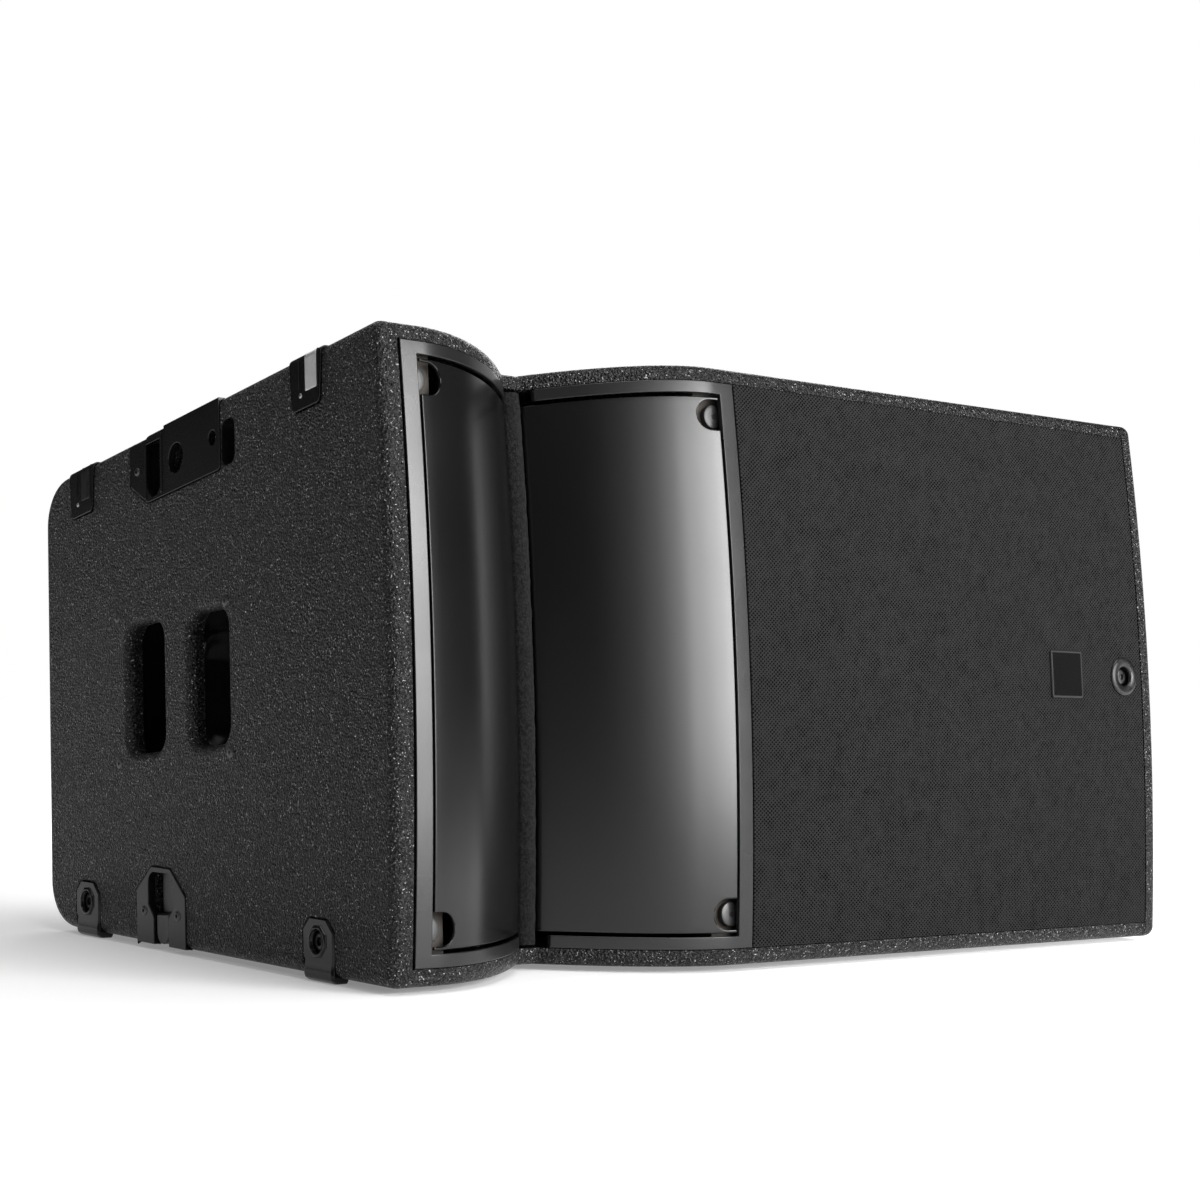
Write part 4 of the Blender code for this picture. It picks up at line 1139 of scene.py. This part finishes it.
def make_plate(name, side, edge, outline, low, high, bend, openings):
    """A rigging plate with its flange from low to high along Y, cut through by its openings."""
    plate = solid(name + "_face", lofted(edge_prism(side, edge, outline, -PLATE_PROUD, PLATE_BACK)))
    carve(plate, lofted(wrapped_loops(side, edge, straight(low), straight(high), 0.012, PLATE_PROUD,
                                      PLATE_BACK, FLANGE_REACH, bend, 0.0)), operation="UNION")
    carve(plate, *[lofted(edge_prism(side, edge, points, *THROUGH)) for points in openings])
    finish(plate, "gloss_steel", [name], bevel=0.0006)


def make_top_plate(side, label):
    name = "rigging_plate_top_" + label
    low, high = TONGUE_SLOT
    tongue = [(low, 0.006), (high, 0.006), (high, 0.042), (0.304, 0.049), (0.296, 0.049), (low, 0.042)]
    openings = [round_corners(tongue, 0.0015), rectangle(0.2845, 0.338, -0.004, 0.004)]
    openings += [circle(y, inset, radius) for y, inset, radius, _ in PIN_HOLES]
    make_plate(name, side, 1, round_corners(top_plate_points(), TOP_PLATE_CORNERS), 0.204, 0.284,
               0.0045, openings)

    # A black gloss liner on the floor and walls of the end pocket: painted shade, a dark cup put where the
    # pocket lies in shade.
    painted_shade_liner = solid(name + "_liner", lofted(edge_prism(
        side, 1, rounded_rectangle(*END_POCKET[0], 0.0094, 0.0164, 0.007), 0.001, 0.0113)))
    inside = rounded_rectangle(*END_POCKET[0], 0.0089, 0.0159, 0.0065)
    carve(painted_shade_liner, lofted(edge_prism(side, 1, inside, -OVER, 0.0108)))
    finish(painted_shade_liner, "gloss_steel")

    nose = wrapped_loops(side, 1, straight(low), straight(high), 0.0085, 0.0012, 0.004, 0.0118, 0.0062,
                         0.0, 0.004)
    fins = [edge_prism(side, 1, rectangle(first, last, 0.005, 0.049), -0.0014, 0.012)
            for first, last in ((TONGUE_POCKET[0], low), (high, TONGUE_POCKET[1]))]
    backing = rectangle(0.2892, 0.3108, 0.008, 0.0486)
    for part, loop_sets in (("_nose", [nose]), ("_fins", fins),
                            ("_tongue", [edge_prism(side, 1, backing, 0.01, 0.0128)])):
        finish(solid(name + part, lofted(*loop_sets)), "gloss_steel", bevel=0.0004)
    y = 0.325
    side_screw(name + "_screw", side, y, half_height(y) - 0.0255, 0.0032, 0.0014, 0.0016, "screw", -0.0004)


def make_bottom_plate(side, label):
    name = "rigging_plate_bottom_" + label
    mouth = 0.011
    cavity = 0.019
    keyhole = mirrored(LINK_Y, [(mouth, -0.004), (mouth, 0.02), (cavity, 0.029), (cavity, 0.053)])
    keyhole = round_corners(keyhole, (0.0, 0.003, 0.003, 0.009, 0.009, 0.003, 0.003, 0.0), 8)
    make_plate(name, side, -1, round_corners(bottom_plate_points(), BOTTOM_PLATE_CORNERS),
               BOTTOM_PLATE_FRONT, PLATE_REAR, 0.003, [keyhole])
    for y in (0.325, 0.275):
        side_screw("%s_screw_%d" % (name, round(y * 1000)), side, y, -half_height(y) + 0.0235,
                   0.0038, 0.0012, 0.0016, "screw", -0.0004)


def make_link_bar(side, label):
    """A flat shank in the pocket, with a thick round-ended head that fills the plate's mouth."""
    edge_z = -half_height(LINK_Y)

    def bar(half, high):
        middle = edge_z + LINK_LOW + half
        points = [(LINK_Y - half, edge_z + high), (LINK_Y - half, middle)]
        points += arc(LINK_Y, middle, half, 180.0, 360.0, 24)[1:-1]
        return points + [(LINK_Y + half, middle), (LINK_Y + half, edge_z + high)]

    shank = bar(LINK_HALF, LINK_HIGH)
    head = bar(LINK_HEAD_HALF, LINK_HEAD_HIGH)
    link = solid("link_" + label, lofted(side_loops(side, ((0.0062, shank), (0.0125, shank)))))
    rings = [(0.0118, head), (0.0022, head), (0.001, bar(0.0088, 0.0225))]
    carve(link, lofted(side_loops(side, rings)), operation="UNION")
    finish(link, "dark_bar", ["link_bar_" + label], body="link_" + label, bevel=0.0007)


def make_handle_cup(side, label):
    face = SIDE_WALL + 0.0003
    # depth, half width, half height and corner radius, from the floor of the cup round to its back
    sizes = ((0.07, 0.07, 0.037, 0.016), (0.0692, 0.076, 0.043, 0.019), (0.066, 0.079, 0.046, 0.021),
             (0.05, 0.083, 0.049, 0.024), (face + 0.002, 0.0838, 0.0498, 0.024),
             (face, 0.0855, 0.0515, 0.025), (face, 0.094, 0.064, 0.01),
             (face + 0.0025, 0.094, 0.064, 0.01), (face + 0.0025, 0.0865, 0.0525, 0.0255),
             (0.051, 0.0855, 0.0515, 0.0255), (0.0725, 0.0805, 0.0475, 0.0215))
    rings = [(depth, rounded_rectangle(HANDLE_Y, 0.0, *size, 10)) for depth, *size in sizes]
    cup = solid("handle_tray_" + label, lofted(side_loops(side, rings)))
    finish(cup, "gloss", ["handle_cup_" + label], crease=50.0)
    for index, (y, z) in enumerate(((0.2, 0.053), (0.362, 0.057), (0.362, -0.054), (0.197, -0.055))):
        side_screw("handle_screw_%s_%d" % (label, index + 1), side, y, z, 0.0042, 0.0006, 0.0017,
                   "screw", 0.0002)


# ---------------------------------------------------------------- rear
def make_rear():
    plate_rear = DEPTH - 0.002
    plate_front = DEPTH - 0.0052
    outline = rounded_rectangle(INPUT_X, 0.0, 0.1, 0.06, 0.008)
    plate = solid("connector_plate", lofted(prism_loops("y", outline, plate_front, plate_rear)))
    sockets = (("socket_in", INPUT_X - SOCKET_X), ("socket_link", INPUT_X + SOCKET_X))
    for_sockets = [prism_loops("y", circle(x, 0.0, 0.0125), plate_front - 0.002, plate_rear + 0.002)
                   for _, x in sockets]
    carve(plate, *[lofted(loops) for loops in for_sockets])
    finish(plate, "steel", ["input_panel"], bevel=0.0006)
    for name, x in sockets:
        builder = bmesh.new()
        shell = [(0.0, -0.03), (0.012, -0.03), (0.012, 0.0003), (0.0155, 0.0003), (0.0155, 0.0012),
                 (0.0149, 0.0018), (0.0108, 0.0018), (0.0102, 0.0012), (0.01, -0.022), (0.0, -0.022)]
        add_turned(builder, "y", shell, (x, 0.0, plate_rear))
        core = [(0.0, -0.0218), (0.0062, -0.0218), (0.0062, -0.0022), (0.0056, -0.0014), (0.003, -0.0014),
                (0.0026, -0.002), (0.0026, -0.012), (0.0, -0.012)]
        add_turned(builder, "y", core, (x, 0.0, plate_rear))
        for step in range(4):
            turn = radians(45.0 + 90.0 * step)
            middle = Vector((x + 0.0086 * cos(turn), 0.0086 * sin(turn)))
            along = Vector((cos(turn), sin(turn)))
            across = Vector((-along.y, along.x))
            key = [middle + along * a + across * b
                   for a, b in rectangle(-0.0004, 0.0014, -0.0011, 0.0011)]
            add_loft(builder, prism_loops("y", [(p.x, p.y) for p in key], plate_rear - 0.0215,
                                          plate_rear - 0.001))
        socket = solid(name + "_shell", builder)
        finish(socket, "plastic", [name])
    corners = ((-1, 1), (1, 1), (1, -1), (-1, -1))
    for index, (dx, z) in enumerate([(a * 0.091, b * 0.051) for a, b in corners]):
        def to_point(level, a, b, dx=dx, z=z):
            return (INPUT_X + dx + a, plate_rear + level, z + b)
        builder = bmesh.new()
        add_screw(builder, to_point, 0.0036, 0.0014, 0.0014, 0.0016, 0.002)
        head = solid("panel_screw_%d" % (index + 1), builder)
        finish(head, "screw")


# ---------------------------------------------------------------- stage, light and camera
def make_stage():
    """A wide pale floor. It glows far off and at the back right, as it does near a lit wall."""
    reach = 30.0
    builder = bmesh.new()
    lines = spread(-reach, reach, 24)
    rows = [[builder.verts.new((x, y, 0.0)) for x in lines] for y in lines]
    add_rows(builder, rows)
    floor = mesh_object("studio_floor", builder)
    look = Look("studio_paper", (0.8, 0.8, 0.8), 0.9, specular=0.1)
    look.blend(look.noise(0.6, 2.0), (0.79, 0.79, 0.79), (0.81, 0.81, 0.81))
    split = look.split()
    back_right = look.math("ADD", split["Y"], look.math("MULTIPLY", split["X"], 2.0))
    length = look.node("VectorMath", {0: look.coordinates}, operation="LENGTH")
    near_wall = look.band(back_right, -0.9, 2.0, 0.22, 1.0)
    far_off = look.band(length.outputs["Value"], 1.2, 3.6, 0.22, 1.0)
    glow = look.math("MAXIMUM", near_wall, far_off)
    look.fill(look.shader, {"Emission Color": (1.0, 1.0, 1.0, 1.0), "Emission Strength": glow})
    floor.data.materials.append(look.material)


def add_softbox(name, azimuth, elevation, distance, width, height, power):
    """A rectangular light that faces the speaker; azimuth is from -Y towards +X, in degrees."""
    turn = radians(azimuth)
    rise = radians(elevation)
    aim = Vector((0.0, 0.0, 0.22))
    way = Vector((sin(turn) * cos(rise), -cos(turn) * cos(rise), sin(rise)))
    light = bpy.data.lights.new(name, "AREA")
    light.shape = "RECTANGLE"
    light.size = width
    light.size_y = height
    light.energy = power
    lamp = add_object(name, light)
    lamp.location = aim + way * distance
    lamp.rotation_euler = (-way).to_track_quat("-Z", "Y").to_euler()


def make_light():
    """A soft key from the front right, a soft top light and weak fills, in a dim white room."""
    world = bpy.data.worlds.new("studio")
    world.use_nodes = True
    tree = world.node_tree
    dim = tree.nodes["Background"]
    pale = tree.nodes.new("ShaderNodeBackground")
    for node, strength in ((dim, 0.045), (pale, 1.0)):
        node.inputs["Color"].default_value = (1.0, 1.0, 1.0, 1.0)
        node.inputs["Strength"].default_value = strength
    rays = tree.nodes.new("ShaderNodeLightPath")
    mix = tree.nodes.new("ShaderNodeMixShader")
    tree.links.new(rays.outputs["Is Camera Ray"], mix.inputs["Fac"])
    tree.links.new(dim.outputs["Background"], mix.inputs[1])
    tree.links.new(pale.outputs["Background"], mix.inputs[2])
    tree.links.new(mix.outputs["Shader"], tree.nodes["World Output"].inputs["Surface"])
    bpy.context.scene.world = world
    bpy.context.scene.view_settings.view_transform = "Standard"
    strip_powers = (38.0, 28.5, 17.5, 8.0, 3.2, 0.9)
    for step, power in enumerate(strip_powers):
        add_softbox("key_strip_%d" % step, 25.0 - 11.0 * step, 14.0, 2.6, 0.5, 1.35, power)
    add_softbox("top", 10.0, 78.0, 2.6, 2.0, 1.6, 45.0)
    add_softbox("left_fill", -82.0, 34.0, 3.2, 0.7, 0.7, 7.0)
    add_softbox("right_fill", 106.0, 8.0, 3.0, 1.0, 1.5, 3.2)
    add_softbox("rear_right", 140.0, 25.0, 3.2, 1.6, 1.6, 30.0)
    add_softbox("rear", 180.0, 45.0, 3.2, 1.6, 1.2, 12.0)


def make_camera():
    """The main view: position and direction in the cabinet's frame, then leant with it."""
    place_at = Vector((-1.2247, -1.25335, -0.13953))
    azimuth = radians(39.41)
    elevation = radians(4.628)
    roll = radians(-1.834)
    forward = Vector((sin(azimuth) * cos(elevation), cos(azimuth) * cos(elevation),
                      sin(elevation)))
    level_right = Vector((cos(azimuth), -sin(azimuth), 0.0))
    level_up = level_right.cross(forward)
    right = level_right * cos(roll) + level_up * sin(roll)
    up = level_up * cos(roll) - level_right * sin(roll)
    turn = Matrix((right, up, -forward)).transposed().to_4x4()
    data = bpy.data.cameras.new("camera")
    data.lens = 70.65
    data.sensor_width = 36.0
    data.shift_x = -0.012
    data.shift_y = 0.0585
    data.clip_start = 0.05
    data.clip_end = 60.0
    camera = add_object("camera", data)
    camera.matrix_world = LEAN @ Matrix.Translation(place_at) @ turn
    bpy.context.scene.camera = camera


def build():
    repaint_frame()
    make_camera()
    make_light()
    make_stage()
    make_side_wall("side_wall_left", -1)
    make_side_wall("side_wall_right", 1)
    make_deck("top_panel", 1)
    make_deck("bottom_panel", -1)
    make_rear_panel()
    for side, label in SIDES:
        make_horn_frame(side, label)
        make_flare(side, label)
    make_throat_felt()
    make_flare_screws()
    make_grille()
    for side, label in SIDES:
        for row, foot_y in (("front", FRONT_FOOT_Y), ("rear", REAR_FOOT_Y)):
            make_top_foot(side, label, row, foot_y)
            make_bottom_foot(side, label, row, foot_y)
        make_top_plate(side, label)
        make_bottom_plate(side, label)
        make_link_bar(side, label)
        make_handle_cup(side, label)
    make_rear()


build()
